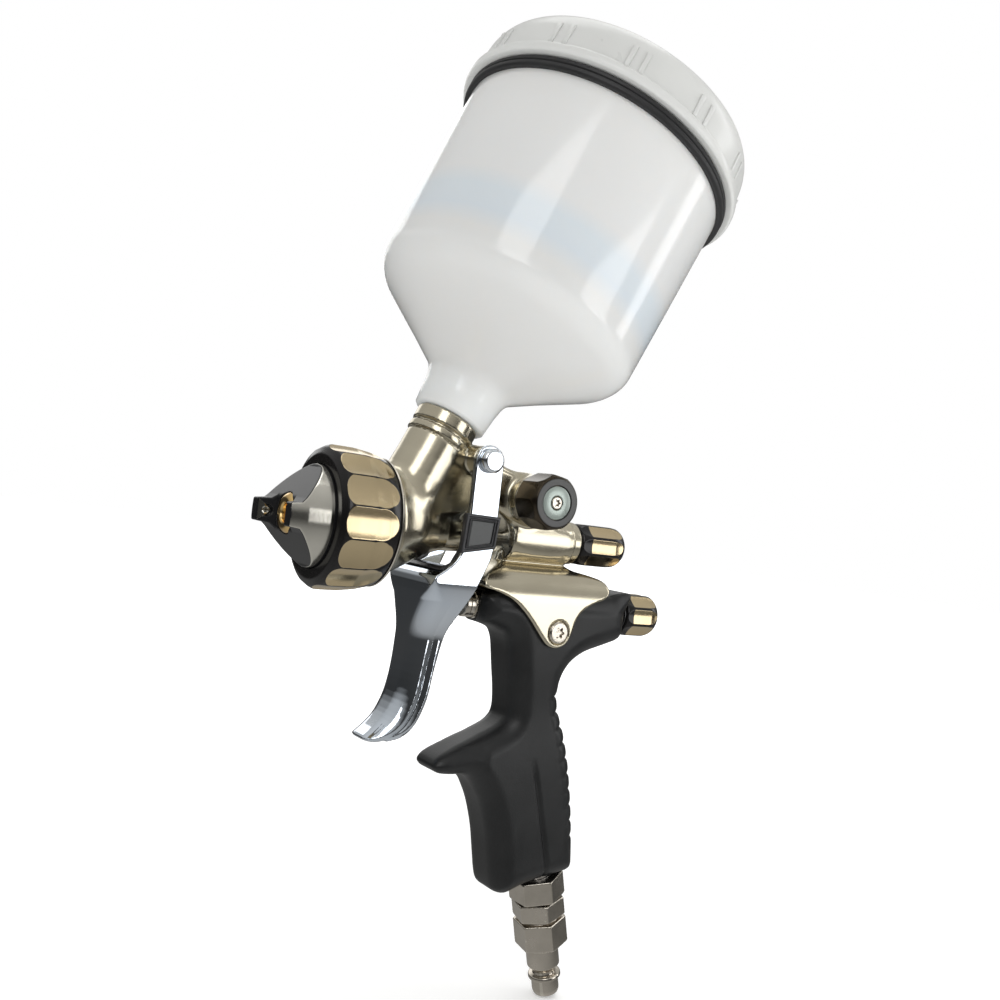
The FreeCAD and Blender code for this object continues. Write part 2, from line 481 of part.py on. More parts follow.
nodes.append(turned("cup_lid", "cup", [
    ("rimRadius + 0.1", "gasketHigh + sideGap"), ("lidRadius - 0.6", "gasketHigh + sideGap"),
    ("lidRadius", "gasketHigh + 3"), ("lidRadius", "gasketHigh + 9"),
    ("lidRadius - 1", "lidTop - 3"), ("lidRadius - 4", "lidTop"), ("ventRadius", "lidTop"),
    ("ventRadius", "lidTop - lidWall"), ("rimRadius - 4", "lidTop - lidWall"),
    ("rimRadius - 3", "cupRim + sideGap"), ("rimRadius + 0.1", "cupRim + sideGap")]))
nodes.append(turned("lid_vent_cap", "cup", [
    ("0", "lidTop - lidWall - 3"), ("ventRadius - 0.1", "lidTop - lidWall - 3"),
    ("ventRadius - 0.1", "lidTop + 0.1"), ("ventRadius + 3", "lidTop + 0.1"),
    ("ventRadius + 3", "lidTop + 2"), ("ventRadius + 2", "lidTop + 3"), ("0", "lidTop + 3")]))
nodes.append(turned("paint_strainer", "cup", [
    ("spigotRadius - cupWall - 1.2", "cupFoot - 9"), ("spigotRadius - cupWall - 0.1", "cupFoot - 9"),
    ("spigotRadius - cupWall - 0.1", "cupFoot + 14"), ("spigotRadius - cupWall - 1.2", "cupFoot + 14"),
    ("spigotRadius - cupWall - 1.2", "cupFoot - 8")]))

# The grip and fittings.
grip_block = profile_plate("gripBlock", grip_points, "gripHalf")
valve_way = tube("valveWay", "spray", "0", "valveRadius + runFit", "valveFront - 1",
                 "valveRear + 2", air)
core_way = tube("coreWay", "grip", "0", "coreRadius + runFit", "coreTop - 0.5", "gripEnd + 8")
grip_screw_way = tube("gripScrewWay", "side", "0", "2.2", "-gripHalf - 1", "gripHalf + 1",
                      ("plateScrewX", "0", "plateScrewZ"))
nodes.append(less("grip", grip_block, [valve_way, core_way, grip_screw_way]))

nodes.append(turned("air_passage_tube", "grip", [
    ("airBore", "coreTop"), ("coreRadius", "coreTop"), ("coreRadius", "lockFront"),
    ("airBore", "lockFront")]))
nodes.append(less("inlet_flange_nut", hex_prism("flangeHex", "grip", "flangeAcross", "flangeFront",
                                                "flangeRear"),
                  [tube("flangeWay", "grip", "0", "coreRadius + runFit", "flangeFront - 1",
                        "flangeRear + 1")]))
nodes.append(tube("inlet_seal", "grip", "airBore", "coreRadius", "lockFront",
                  "lockFront + sealThick"))
nodes.append(less("inlet_lock_nut", hex_prism("lockHex", "grip", "hexAcross", "lockFront",
                                              "lockRear"),
                  [tube("lockWay", "grip", "0", "coreRadius + runFit", "lockFront - 1",
                        "lockRear + 1")]))
plug_hex = hex_prism("plugHex", "grip", "hexAcross", "hexFront", "hexRear")
plug_turned = turned("plugTurned", "grip", [
    ("0", "lockFront + sealThick"), ("coreRadius", "lockFront + sealThick"),
    ("coreRadius", "hexFront + 1"), ("shankRadius", "hexFront + 1"), ("shankRadius", "shankRear"),
    ("grooveRadius", "shankRear + 0.8"), ("grooveRadius", "collarRear - 2.6"),
    ("noseRadius + 1", "collarRear - 1.8"), ("noseRadius + 1", "collarRear"),
    ("noseRadius", "collarRear"), ("noseRadius", "plugTip"), ("0", "plugTip")])
plug_way = tube("plugWay", "grip", "0", "airBore", "lockFront - 1", "plugTip + 1")
nodes.append(less("air_inlet_plug", joined("plugForm", [plug_hex, plug_turned]), [plug_way]))

side_screws = []
for side, low, high in (("Left", "plateHalf - 5", "plateHalf - 0.65"),
                        ("Right", "0.65 - plateHalf", "5 - plateHalf")):
    side_screws.append(tube("screwShank" + side, "side", "0", "2.1", low, high,
                            ("plateScrewX", "0", "plateScrewZ")))
for side, low, high in (("Left", "plateHalf - 0.7", "plateHalf + 0.6"),
                        ("Right", "-plateHalf - 0.6", "0.7 - plateHalf")):
    side_screws.append(tube("screwHead" + side, "side", "0", "4.1", low, high,
                            ("plateScrewX", "0", "plateScrewZ")))
nodes.append(joined("plate_screws", side_screws))

# Each piece is checked and written to its own file.
doc.recompute()
faults = [thing.Label for thing in doc.Objects
          if "Invalid" in thing.State or "Error" in thing.State]
for node in nodes:
    if node.Shape.isNull() or not node.Shape.isValid() or not node.Shape.Solids:
        faults.append(node.Label)
if faults:
    raise RuntimeError("not built: " + ", ".join(faults))
os.makedirs("parts", exist_ok=True)
for node in nodes:
    node.Shape.exportStep(os.path.join("parts", node.Label + ".step"))
    box = node.Shape.BoundBox
    print(f"{node.Label:24s} solids {len(node.Shape.Solids)} volume {node.Shape.Volume:10.1f}"
          f"  x {box.XMin:7.1f} {box.XMax:7.1f}  z {box.ZMin:7.1f} {box.ZMax:7.1f}")
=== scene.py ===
import bmesh
import bpy
import math
import numpy as np
from mathutils import Matrix, Vector


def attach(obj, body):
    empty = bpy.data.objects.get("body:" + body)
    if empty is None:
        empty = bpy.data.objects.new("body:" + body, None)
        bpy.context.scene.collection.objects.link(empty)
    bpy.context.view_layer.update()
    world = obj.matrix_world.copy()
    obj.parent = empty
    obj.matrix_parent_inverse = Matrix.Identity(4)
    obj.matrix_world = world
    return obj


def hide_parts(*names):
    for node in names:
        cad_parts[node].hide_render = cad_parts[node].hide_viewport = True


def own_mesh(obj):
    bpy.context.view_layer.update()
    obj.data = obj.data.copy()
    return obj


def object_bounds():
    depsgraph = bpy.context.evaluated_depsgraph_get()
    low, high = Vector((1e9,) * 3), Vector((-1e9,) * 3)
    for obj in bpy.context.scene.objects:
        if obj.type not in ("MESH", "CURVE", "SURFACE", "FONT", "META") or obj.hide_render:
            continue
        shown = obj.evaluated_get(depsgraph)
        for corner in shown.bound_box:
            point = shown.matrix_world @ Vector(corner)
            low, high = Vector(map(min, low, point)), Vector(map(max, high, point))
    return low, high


# A gravity-feed spray gun. Pieces are drawn in millimetres, with X along the spray axis and
# the nozzle towards -X, and are then moved so that the tip of the air plug is the origin.

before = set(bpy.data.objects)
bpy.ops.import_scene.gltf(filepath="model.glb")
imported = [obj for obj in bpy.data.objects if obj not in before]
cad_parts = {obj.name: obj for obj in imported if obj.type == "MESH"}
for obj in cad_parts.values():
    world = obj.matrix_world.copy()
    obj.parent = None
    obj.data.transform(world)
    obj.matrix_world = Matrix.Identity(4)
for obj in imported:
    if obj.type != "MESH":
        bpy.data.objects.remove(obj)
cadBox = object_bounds()

gun = {"cupLean": 24.9, "cupCross": -9.5, "gripLean": 14.5, "gripCross": 35.7, "plugTip": 168.0,
       "airHeight": -24.0, "pivot": (16.2, 24.3), "fan": (38.5, 13.4), "sideScrew": (54.0, -30.7)}
lean = math.radians(gun["gripLean"])
tilt = math.radians(gun["cupLean"])
datum = np.array([-(gun["gripCross"] + gun["plugTip"] * math.sin(lean)), 0,
                  gun["plugTip"] * math.cos(lean)])

# Each axis: where it starts, its direction, and a direction square to it.
axes = {
    "spray": ((0, 0, 0), (1, 0, 0), (0, 1, 0)),
    "air": ((0, 0, gun["airHeight"]), (1, 0, 0), (0, 1, 0)),
    "cup": ((gun["cupCross"], 0, 0), (math.sin(tilt), 0, math.cos(tilt)), (0, -1, 0)),
    "grip": ((gun["gripCross"], 0, 0), (math.sin(lean), 0, -math.cos(lean)), (0, 1, 0)),
    "fan": ((gun["fan"][0], 0, gun["fan"][1]), (0, -1, 0), (1, 0, 0)),
    "pivot": ((gun["pivot"][0], 0, gun["pivot"][1]), (0, -1, 0), (1, 0, 0)),
    "sideLeft": ((gun["sideScrew"][0], 0, gun["sideScrew"][1]), (0, -1, 0), (1, 0, 0)),
    "sideRight": ((gun["sideScrew"][0], 0, gun["sideScrew"][1]), (0, 1, 0), (1, 0, 0)),
}


def addPiece(name, points, faces, material, body, replaced, sharp):
    mesh = bpy.data.meshes.new(name)
    points = (np.asarray(points, float) + datum) * 0.001
    mesh.from_pydata(points.tolist(), [], faces if isinstance(faces, list) else faces.tolist())
    mesh.validate()
    mesh.polygons.foreach_set("use_smooth", [True] * len(mesh.polygons))
    if sharp:
        mesh.set_sharp_from_angle(angle=math.radians(sharp))
    mesh.materials.append(material)
    piece = bpy.data.objects.new(name, mesh)
    bpy.context.collection.objects.link(piece)
    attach(piece, body)
    if replaced:
        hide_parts(*([replaced] if isinstance(replaced, str) else replaced))
    return piece


def facesOutward(piece):
    shape = bmesh.new()
    shape.from_mesh(piece.data)
    bmesh.ops.recalc_face_normals(shape, faces=shape.faces)
    shape.to_mesh(piece.data)
    shape.free()
    return piece


def rounded(profile, steps=4):
    # A point's third number rounds its corner, with a curve that starts that far from it.
    out = []
    count = len(profile)
    for index, point in enumerate(profile):
        if len(point) < 3 or index in (0, count - 1):
            out.append((point[0], point[1]))
            continue
        here = np.array(point[:2], float)
        before = np.array(profile[index - 1][:2], float) - here
        after = np.array(profile[(index + 1) % count][:2], float) - here
        cut = min(point[2], 0.45 * np.linalg.norm(before), 0.45 * np.linalg.norm(after))
        start = here + before / np.linalg.norm(before) * cut
        end = here + after / np.linalg.norm(after) * cut
        for step in range(steps + 1):
            along = step / steps
            curve = (1 - along) ** 2 * start + 2 * along * (1 - along) * here + along ** 2 * end
            out.append(tuple(curve))
    return out


def closelySpaced(profile, gap):
    # Adds points to a profile until none are further apart than the gap.
    out = [profile[0]]
    for start, end in zip(profile, profile[1:]):
        pieces = max(1, math.ceil(math.dist(start, end) / gap))
        for step in range(1, pieces + 1):
            out.append(tuple(a + (b - a) * step / pieces for a, b in zip(start, end)))
    return out


def lathePoints(axis, profile, around, radiusAt, closed):
    # A profile of (radius, place along the axis), turned round it; a closed one is a tube.
    start, along, across = [np.array(v, float) for v in axes[axis]]
    third = np.cross(along, across)
    angles = np.arange(around) * 2 * math.pi / around
    ring = np.outer(np.cos(angles), across) + np.outer(np.sin(angles), third)
    points, rows = [], []
    for radius, place in profile:
        if radius < 1e-6:
            rows.append([len(points)])
            points.append(start + along * place)
            continue
        radii = np.full(around, radius) if radiusAt is None else radiusAt(angles, radius, place)
        rows.append(list(range(len(points), len(points) + around)))
        points.extend(start + along * place + ring * radii[:, None])
    faces = []
    pairs = list(zip(rows, rows[1:])) + ([(rows[-1], rows[0])] if closed else [])
    for low, high in pairs:
        for i in range(around):
            j = (i + 1) % around
            if len(low) == 1 and len(high) == 1:
                break
            if len(low) == 1:
                faces.append([low[0], high[j], high[i]])
            elif len(high) == 1:
                faces.append([low[i], low[j], high[0]])
            else:
                faces.append([low[i], low[j], high[j], high[i]])
    return points, faces


def turnedPiece(name, axis, profile, material, body, replaced=(), around=96, radiusAt=None,
                closed=False, sharp=35):
    points, faces = lathePoints(axis, rounded(profile), around, radiusAt, closed)
    return facesOutward(addPiece(name, points, faces, material, body, replaced, sharp))


# Shapes below are distance fields, negative inside.
def blendUnion(a, b, soft):
    mix = np.clip(0.5 + 0.5 * (b - a) / soft, 0, 1)
    return b + (a - b) * mix - soft * mix * (1 - mix)


def blendCut(a, b, soft):
    # a with b taken out of it, and the edge softened
    return -blendUnion(-a, b, soft)


def rodField(x, y, z, axis, radius, low, high, edge):
    start, along, _ = axes[axis]
    dx, dy, dz = x - start[0], y - start[1], z - start[2]
    place = dx * along[0] + dy * along[1] + dz * along[2]
    away = np.sqrt(np.maximum(dx * dx + dy * dy + dz * dz - place * place, 0))
    size = radius(place) if callable(radius) else radius
    return softBoth(away - size, np.abs(place - (low + high) / 2) - (high - low) / 2, edge)


def softBoth(a, b, edge):
    # where both shapes are, with the edge between them rounded
    outside = np.sqrt(np.maximum(a + edge, 0) ** 2 + np.maximum(b + edge, 0) ** 2)
    return outside + np.minimum(np.maximum(a, b) + edge, 0) - edge


def curvedLoop(points):
    # Cuts every corner of a closed outline twice over, so that it curves.
    loop = [np.array(p, float) for p in points]
    for _ in range(2):
        cut = []
        for a, b in zip(loop, loop[1:] + loop[:1]):
            cut += [a * 0.78 + b * 0.22, a * 0.22 + b * 0.78]
        loop = cut
    return [tuple(p) for p in loop]


def outlineField(x, z, loop):
    # distance to a closed outline seen from the side
    nearest = None
    inside = None
    for (ax, az), (bx, bz) in zip(loop, loop[1:] + loop[:1]):
        ex, ez = bx - ax, bz - az
        wx, wz = x - ax, z - az
        along = np.clip((wx * ex + wz * ez) / (ex * ex + ez * ez + 1e-12), 0, 1)
        away = (wx - ex * along) ** 2 + (wz - ez * along) ** 2
        crosses = ((az <= z) & (bz > z)) | ((az > z) & (bz <= z))
        left = crosses & (wx < wz * ex / (ez if abs(ez) > 1e-9 else 1e-9))
        nearest = away if nearest is None else np.minimum(nearest, away)
        inside = left if inside is None else inside ^ left
    return np.where(inside, -1, 1) * np.sqrt(nearest)


def surfaceNet(field, low, high, step):
    # A mesh on the field's zero surface, one point in each cell that the surface crosses.
    low = np.array(low, float)
    counts = [int(math.ceil((high[i] - low[i]) / step)) + 1 for i in range(3)]
    lines = [low[i] + step * np.arange(counts[i]) for i in range(3)]
    grid = field(lines[0][:, None, None], lines[1][None, :, None], lines[2][None, None, :])
    grid = np.array(np.broadcast_to(grid, counts), np.float32)
    inside = grid < 0
    cells = [count - 1 for count in counts]
    total = np.zeros(cells, np.int8)
    corners = [(i, j, k) for i in (0, 1) for j in (0, 1) for k in (0, 1)]
    for i, j, k in corners:
        total += inside[i:i + cells[0], j:j + cells[1], k:k + cells[2]]
    active = (total > 0) & (total < 8)
    number = np.full(cells, -1, np.int64)
    number[active] = np.arange(active.sum())
    cell = np.argwhere(active)
    sums = np.zeros((len(cell), 3))
    hits = np.zeros(len(cell))
    for axis in range(3):
        step3 = np.eye(3, dtype=int)[axis]
        for corner in corners:
            if corner[axis]:
                continue
            first = cell + corner
            second = first + step3
            a = grid[tuple(first.T)]
            b = grid[tuple(second.T)]
            crossed = (a < 0) != (b < 0)
            share = np.where(crossed, a / np.where(crossed, a - b, 1), 0)
            sums += np.where(crossed[:, None], first + step3 * share[:, None], 0)
            hits += crossed
    points = low + step * sums / hits[:, None]
    small = step * 0.05
    # three small moves bring each point onto the surface itself
    for _ in range(3):
        here = field(*points.T)
        slope = np.stack([(field(*(points + small * unit).T) - here) / small
                          for unit in np.eye(3)], axis=1)
        move = here[:, None] * slope / np.maximum((slope ** 2).sum(1), 0.2)[:, None]
        points -= np.clip(move, -step * 0.5, step * 0.5)
    faces = []
    for axis in range(3):
        u, v = [k for k in range(3) if k != axis]
        after = np.roll(inside, -1, axis)
        crossed = inside != after
        crossed[tuple(slice(-1, None) if k == axis else slice(None) for k in range(3))] = False
        for side in (u, v):
            crossed[tuple(slice(0, 1) if k == side else slice(None) for k in range(3))] = False
            crossed[tuple(slice(-1, None) if k == side else slice(None) for k in range(3))] = False
        edge = np.argwhere(crossed)
        uu, vv = np.eye(3, dtype=int)[u], np.eye(3, dtype=int)[v]
        quad = np.stack([number[tuple((edge - shift).T)] for shift in (0 * uu, uu, uu + vv, vv)], 1)
        flip = inside[tuple(edge.T)] ^ (axis == 1)
        faces.append(np.where(flip[:, None], quad, quad[:, ::-1]))
    return points, np.concatenate(faces)


def carvedPiece(name, field, low, high, step, material, body, replaced=(), sharp=0):
    points, faces = surfaceNet(field, low, high, step)
    return addPiece(name, points, faces, material, body, replaced, sharp)


def newFinish(name):
    material = bpy.data.materials.new(name)
    material.use_nodes = True
    return material, material.node_tree.nodes, material.node_tree.links


def noiseNode(nodes, links, scale, detail, stretch=(1, 1, 1)):
    place = nodes.new("ShaderNodeTexCoord")
    turn = nodes.new("ShaderNodeMapping")
    turn.inputs["Scale"].default_value = stretch
    links.new(place.outputs["Object"], turn.inputs["Vector"])
    noise = nodes.new("ShaderNodeTexNoise")
    noise.inputs["Scale"].default_value = scale
    noise.inputs["Detail"].default_value = detail
    links.new(turn.outputs["Vector"], noise.inputs["Vector"])
    return noise


def spread(nodes, links, source, low, high, fromLow=0.3, fromHigh=0.7):
    ranged = nodes.new("ShaderNodeMapRange")
    ranged.inputs["From Min"].default_value = fromLow
    ranged.inputs["From Max"].default_value = fromHigh
    ranged.inputs["To Min"].default_value = low
    ranged.inputs["To Max"].default_value = high
    links.new(source, ranged.inputs["Value"])
    return ranged.outputs["Result"]


def blendColour(nodes, links, factor, first, second):
    mix = nodes.new("ShaderNodeMix")
    mix.data_type = "RGBA"
    for socket, value in (("A", first), ("B", second)):
        target = [i for i in mix.inputs if i.name == socket and i.type == "RGBA"][0]
        if isinstance(value, tuple):
            target.default_value = (*value, 1)
        else:
            links.new(value, target)
    links.new(factor, mix.inputs["Factor"])
    return [o for o in mix.outputs if o.type == "RGBA"][0]


def addBump(nodes, links, grain, strength, distance=0.0002):
    bump = nodes.new("ShaderNodeBump")
    bump.inputs["Strength"].default_value = strength
    bump.inputs["Distance"].default_value = distance
    links.new(grain.outputs["Fac"], bump.inputs["Height"])
    links.new(bump.outputs["Normal"], nodes["Principled BSDF"].inputs["Normal"])


def addRamp(nodes, stops):
    ramp = nodes.new("ShaderNodeValToRGB")
    elements = ramp.color_ramp.elements
    for index, (spot, colour) in enumerate(stops):
        # a new ramp has two stops already
        stop = elements[index] if index < 2 else elements.new(spot)
        stop.position = spot
        stop.color = (*colour, 1)
    return ramp


def makeFinish(name, light, dark, metallic, rough, roughSpread=0.05, patch=60, grain=900,
               grainDepth=0.03, stretch=(1, 1, 1), edge=0.0, **sockets):
    # Patchy colour and gloss, a fine grain, and edges painted lighter: partly rubbed wear, partly
    # painted highlight.
    material, nodes, links = newFinish(name)
    shader = nodes["Principled BSDF"]
    patches = noiseNode(nodes, links, patch, 4.0)
    colour = blendColour(nodes, links, spread(nodes, links, patches.outputs["Fac"], 0, 1),
                         dark, light)
    if edge:
        # painted highlight with some rubbed wear: the pointy edges are given a lighter colour
        place = nodes.new("ShaderNodeNewGeometry")
        rubAndHighlight = spread(nodes, links, place.outputs["Pointiness"], 0, edge, 0.52, 0.6)
        rubbedHighlitColour = tuple(min(1, c * 1.6 + 0.05) for c in light)
        colour = blendColour(nodes, links, rubAndHighlight, colour, rubbedHighlitColour)
    links.new(colour, shader.inputs["Base Color"])
    fine = noiseNode(nodes, links, grain, 2.0, stretch)
    gloss = spread(nodes, links, patches.outputs["Fac"], rough - roughSpread, rough + roughSpread)
    links.new(gloss, shader.inputs["Roughness"])
    addBump(nodes, links, fine, grainDepth)
    shader.inputs["Metallic"].default_value = metallic
    for socket, value in sockets.items():
        shader.inputs[socket.replace("_", " ")].default_value = value
    return material


satinNickel = makeFinish("satinNickel", (0.60, 0.55, 0.43), (0.52, 0.47, 0.36), 1.0, 0.19, 0.03,
                         patch=45, grain=1400, grainDepth=0.05)
chromeFinish = makeFinish("polishedChrome", (0.80, 0.83, 0.87), (0.70, 0.77, 0.86), 1.0, 0.08, 0.03,
                          patch=30, grain=700, grainDepth=0.02)
blackGloss = makeFinish("glossBlack", (0.012, 0.011, 0.011), (0.006, 0.006, 0.007), 0.2, 0.24, 0.05,
                        grain=1200, grainDepth=0.03, edge=0.15, Coat_Weight=0.15)
bronzeBlack = makeFinish("bronzeBlack", (0.085, 0.068, 0.048), (0.05, 0.04, 0.028), 0.95, 0.17,
                         0.04, grain=1000, edge=0.2)
greyRim = makeFinish("greyRim", (0.09, 0.09, 0.085), (0.06, 0.06, 0.06), 0.8, 0.35, 0.05)
paleDisc = makeFinish("paleDisc", (0.40, 0.45, 0.42), (0.34, 0.39, 0.36), 0.5, 0.32, 0.05,
                      grain=1600, grainDepth=0.08)
darkPlastic = makeFinish("darkPlastic", (0.022, 0.022, 0.024), (0.013, 0.013, 0.015), 0.0, 0.33,
                         0.06, grain=1800, grainDepth=0.1, edge=0.2)
greyPlastic = makeFinish("greyPlastic", (0.075, 0.078, 0.078), (0.05, 0.052, 0.053), 0.0, 0.4,
                         0.06, grain=1800, grainDepth=0.12)
satinBlack = makeFinish("satinBlack", (0.013, 0.0135, 0.014), (0.008, 0.0085, 0.009), 0.0, 0.40,
                        0.05, patch=80, grain=2200, grainDepth=0.16, edge=0.12,
                        Specular_IOR_Level=0.4)
fittingNickel = makeFinish("fittingNickel", (0.62, 0.57, 0.50), (0.50, 0.46, 0.40), 1.0, 0.23,
                           0.06, patch=120, grain=600, grainDepth=0.08, stretch=(1, 1, 9),
                           edge=0.3)
goldFinish = makeFinish("goldFinish", (0.86, 0.62, 0.28), (0.70, 0.46, 0.18), 1.0, 0.2, 0.05,
                        patch=200, grain=900)
brassFinish = makeFinish("brassFinish", (0.72, 0.55, 0.30), (0.60, 0.44, 0.22), 1.0, 0.28)
steelFinish = makeFinish("steelFinish", (0.62, 0.62, 0.63), (0.50, 0.50, 0.52), 1.0, 0.22)
whiteSeal = makeFinish("whiteSeal", (0.88, 0.88, 0.86), (0.8, 0.8, 0.78), 0.0, 0.45)
rubberBlack = makeFinish("rubberBlack", (0.020, 0.020, 0.021), (0.012, 0.012, 0.013), 0.0, 0.5,
                         0.08, grain=1500, grainDepth=0.2)
lidPlastic = makeFinish("lidPlastic", (0.66, 0.665, 0.65), (0.61, 0.615, 0.60), 0.0, 0.3, 0.05,
                        patch=25, grain=1100, grainDepth=0.08, Subsurface_Weight=0.15,
                        Subsurface_Scale=0.004, Subsurface_Radius=(1.0, 1.0, 1.0),
                        Coat_Weight=0.15)


def flutedFinish(name, attribute, dark, bright, roughDark, roughBright):
    # Black metal whose machined flutes show bright: the piece's own attribute says where.
    material, nodes, links = newFinish(name)
    shader = nodes["Principled BSDF"]
    cut = nodes.new("ShaderNodeAttribute")
    cut.attribute_name = attribute
    where = spread(nodes, links, cut.outputs["Fac"], 0, 1, -0.01, 0.05)
    patches = noiseNode(nodes, links, 90, 4.0)
    tone = blendColour(nodes, links, patches.outputs["Fac"],
                       tuple(c * 0.85 for c in bright), tuple(min(1, c * 1.1) for c in bright))
    links.new(blendColour(nodes, links, where, dark, tone), shader.inputs["Base Color"])
    links.new(spread(nodes, links, where, 0.35, 1.0, 0, 1), shader.inputs["Metallic"])
    links.new(spread(nodes, links, where, roughDark, roughBright, 0, 1),
              shader.inputs["Roughness"])
    addBump(nodes, links, noiseNode(nodes, links, 1100, 2.0), 0.04)
    return material


goldFlutes = flutedFinish("goldFlutes", "fluteDepth", (0.010, 0.009, 0.009), (0.62, 0.50, 0.31),
                          0.2, 0.17)
capFinish = flutedFinish("capFinish", "bareMetal", (0.010, 0.010, 0.011), (0.62, 0.60, 0.54),
                         0.34, 0.17)


def milkyFinish():
    # Milky plastic with a painted reflection, a faint cool band round the cup, and slightly darker
    # near the foot.
    material, nodes, links = newFinish("milkyPlastic")
    shader = nodes["Principled BSDF"]
    place = nodes.new("ShaderNodeTexCoord")
    along = nodes.new("ShaderNodeVectorMath")
    along.operation = "DOT_PRODUCT"
    along.inputs[1].default_value = axes["cup"][1]
    links.new(place.outputs["Object"], along.inputs[0])
    foot = float(np.dot((np.array(axes["cup"][0]) + datum) * 0.001, axes["cup"][1]))
    # the cool band in the middle of the ramp is a painted reflection
    band = addRamp(nodes, [
        (0.0, (0.78, 0.80, 0.80)), (0.42, (0.80, 0.83, 0.84)), (0.48, (0.69, 0.79, 0.89)),
        (0.55, (0.70, 0.80, 0.89)), (0.61, (0.80, 0.83, 0.85)), (1.0, (0.82, 0.84, 0.84))])
    height = spread(nodes, links, along.outputs["Value"], 0, 1, foot + 0.04, foot + 0.15)
    links.new(height, band.inputs["Fac"])
    patches = noiseNode(nodes, links, 18, 3.0)
    cloud = spread(nodes, links, patches.outputs["Fac"], 0.0, 0.12)
    links.new(blendColour(nodes, links, cloud, band.outputs["Color"], (0.66, 0.70, 0.73)),
              shader.inputs["Base Color"])
    links.new(spread(nodes, links, patches.outputs["Fac"], 0.10, 0.17), shader.inputs["Roughness"])
    addBump(nodes, links, noiseNode(nodes, links, 60, 2.0), 0.06, 0.0005)
    shader.inputs["Subsurface Weight"].default_value = 0.55
    shader.inputs["Subsurface Scale"].default_value = 0.012
    shader.inputs["Subsurface Radius"].default_value = (0.8, 0.9, 1.0)
    shader.inputs["Coat Weight"].default_value = 0.25
    shader.inputs["Coat Roughness"].default_value = 0.04
    return material


milkyPlastic = milkyFinish()
print("finishes ready")


def fluteCut(angles, radius, flutes, floor, hollow):
    # Flutes are shallow hollows ground into a round blank, one after another round it.
    width = 2 * math.pi / flutes
    offset = (angles + width / 2) % width - width / 2
    across = radius * np.sin(offset)
    return (floor + across ** 2 * hollow) / np.maximum(np.cos(offset), 0.2)


def flutedPiece(name, axis, profile, settings, floorAt, material, body, replaced, around, gap,
                closed=False):
    # A turned piece with flutes cut in it; fluteDepth says where the cut shows bright.
    flutes, hollow = settings["flutes"], settings["hollow"]
    profile = closelySpaced(rounded(profile, 6), gap)

    def radiusAt(angles, radius, place):
        return np.minimum(radius, fluteCut(angles, radius, flutes, floorAt(place, radius), hollow))

    points, faces = lathePoints(axis, profile, around, radiusAt, closed)
    depth = []
    angles = np.arange(around) * 2 * math.pi / around
    for radius, place in profile:
        if radius < 1e-6:
            depth.append(-1.0)
            continue
        cut = radius - fluteCut(angles, radius, flutes, floorAt(place, radius), hollow)
        depth.extend(np.minimum(cut, (place - settings["blackTo"]) * 0.3))
    piece = addPiece(name, points, faces, material, body, replaced, sharp=50)
    mark = piece.data.attributes.new("fluteDepth", "FLOAT", "POINT")
    mark.data.foreach_set("value", depth)
    return facesOutward(piece)


ring = {"flutes": 14, "deep": 1.15, "hollow": 0.026, "blackTo": -99.0}


def ringFloor(place, radius):
    # the flutes run out in a round end before the rear edge, and through the front chamfer
    if radius < 18:
        return radius + 5
    blank = np.interp(place, [-30.5, -25, -19.8, -16.4], [22.8, 22.7, 21.9, 20.6])
    gone = max(0.0, (place + 23.4) / 6.4)
    return blank - ring["deep"] * (1.0 - gone ** 2)


flutedPiece(
    "airCapRing", "spray",
    [(16.4, -33.1), (16.4, -36.1, 0.3), (19.6, -36.1, 0.4), (22.0, -34.9, 0.5), (22.8, -33.4, 0.8),
     (22.7, -25, 3), (21.9, -19.8, 3), (20.6, -16.4, 1.4), (19.4, -14.95, 0.5), (17.4, -14.95)],
    ring, ringFloor, goldFlutes, "air_cap_ring", "air_cap_ring", ring["flutes"] * 40, 0.35,
    closed=True)
turnedPiece(
    "ringRearLine", "spray", [(19.3, -15.5), (20.6, -15.9), (20.75, -15.5), (20.2, -14.9),
                              (19.3, -14.9)],
    fittingNickel, "air_cap_ring", closed=True, around=160)

fluidKnob = {"flutes": 8, "deep": 0.72, "hollow": 0.050, "blackTo": 68.6, "rear": 85.8,
             "face": (6.4, 75), "runOut": (7.0, 5.6), "places": [79.5, 83.4, 85.8],
             "radii": [7.7, 7.1, 5.6]}
airKnob = {"flutes": 8, "deep": 0.74, "hollow": 0.045, "blackTo": 91.6, "rear": 105.3,
           "face": (6.6, 95), "runOut": (6.2, 5.0), "places": [100.2, 103.2, 105.3],
           "radii": [8.0, 7.3, 5.8]}


def knobFloor(knob):
    def floorAt(place, radius):
        # the flat front face stays whole, and each flute runs out in a round end before the rear
        faceRadius, faceEnd = knob["face"]
        if radius < faceRadius and place < faceEnd:
            return radius + 5
        before, length = knob["runOut"]
        gone = max(0.0, (place - (knob["rear"] - before)) / length)
        return np.interp(place, knob["places"], knob["radii"]) - knob["deep"] * (1.0 - gone ** 2)
    return floorAt


flutedPiece(
    "fluidKnob", "spray",
    [(0, 64.3), (6.2, 64.3), (7.1, 64.9, 0.5), (7.7, 67.2, 1), (7.7, 79.5, 3), (7.0, 83.4, 2),
     (4.4, 85.8, 1.8), (0, 85.8)],
    fluidKnob, knobFloor(fluidKnob), goldFlutes, "fluid_knob", "fluid_knob",
    fluidKnob["flutes"] * 36, 0.35)
flutedPiece(
    "airMicrometerKnob", "air",
    [(0, 88.6), (6.6, 88.6), (7.4, 89.2, 0.5), (8.0, 91.2, 1), (8.0, 100.2, 3), (7.2, 103.2, 2),
     (4.6, 105.3, 1.8), (0, 105.3)],
    airKnob, knobFloor(airKnob), goldFlutes, "air_micrometer", "air_micrometer_knob",
    airKnob["flutes"] * 36, 0.35)

fanKnob = {"flutes": 9, "flat": 8.85, "hollow": 0.010, "blackTo": -99.0, "outer": 24.0}


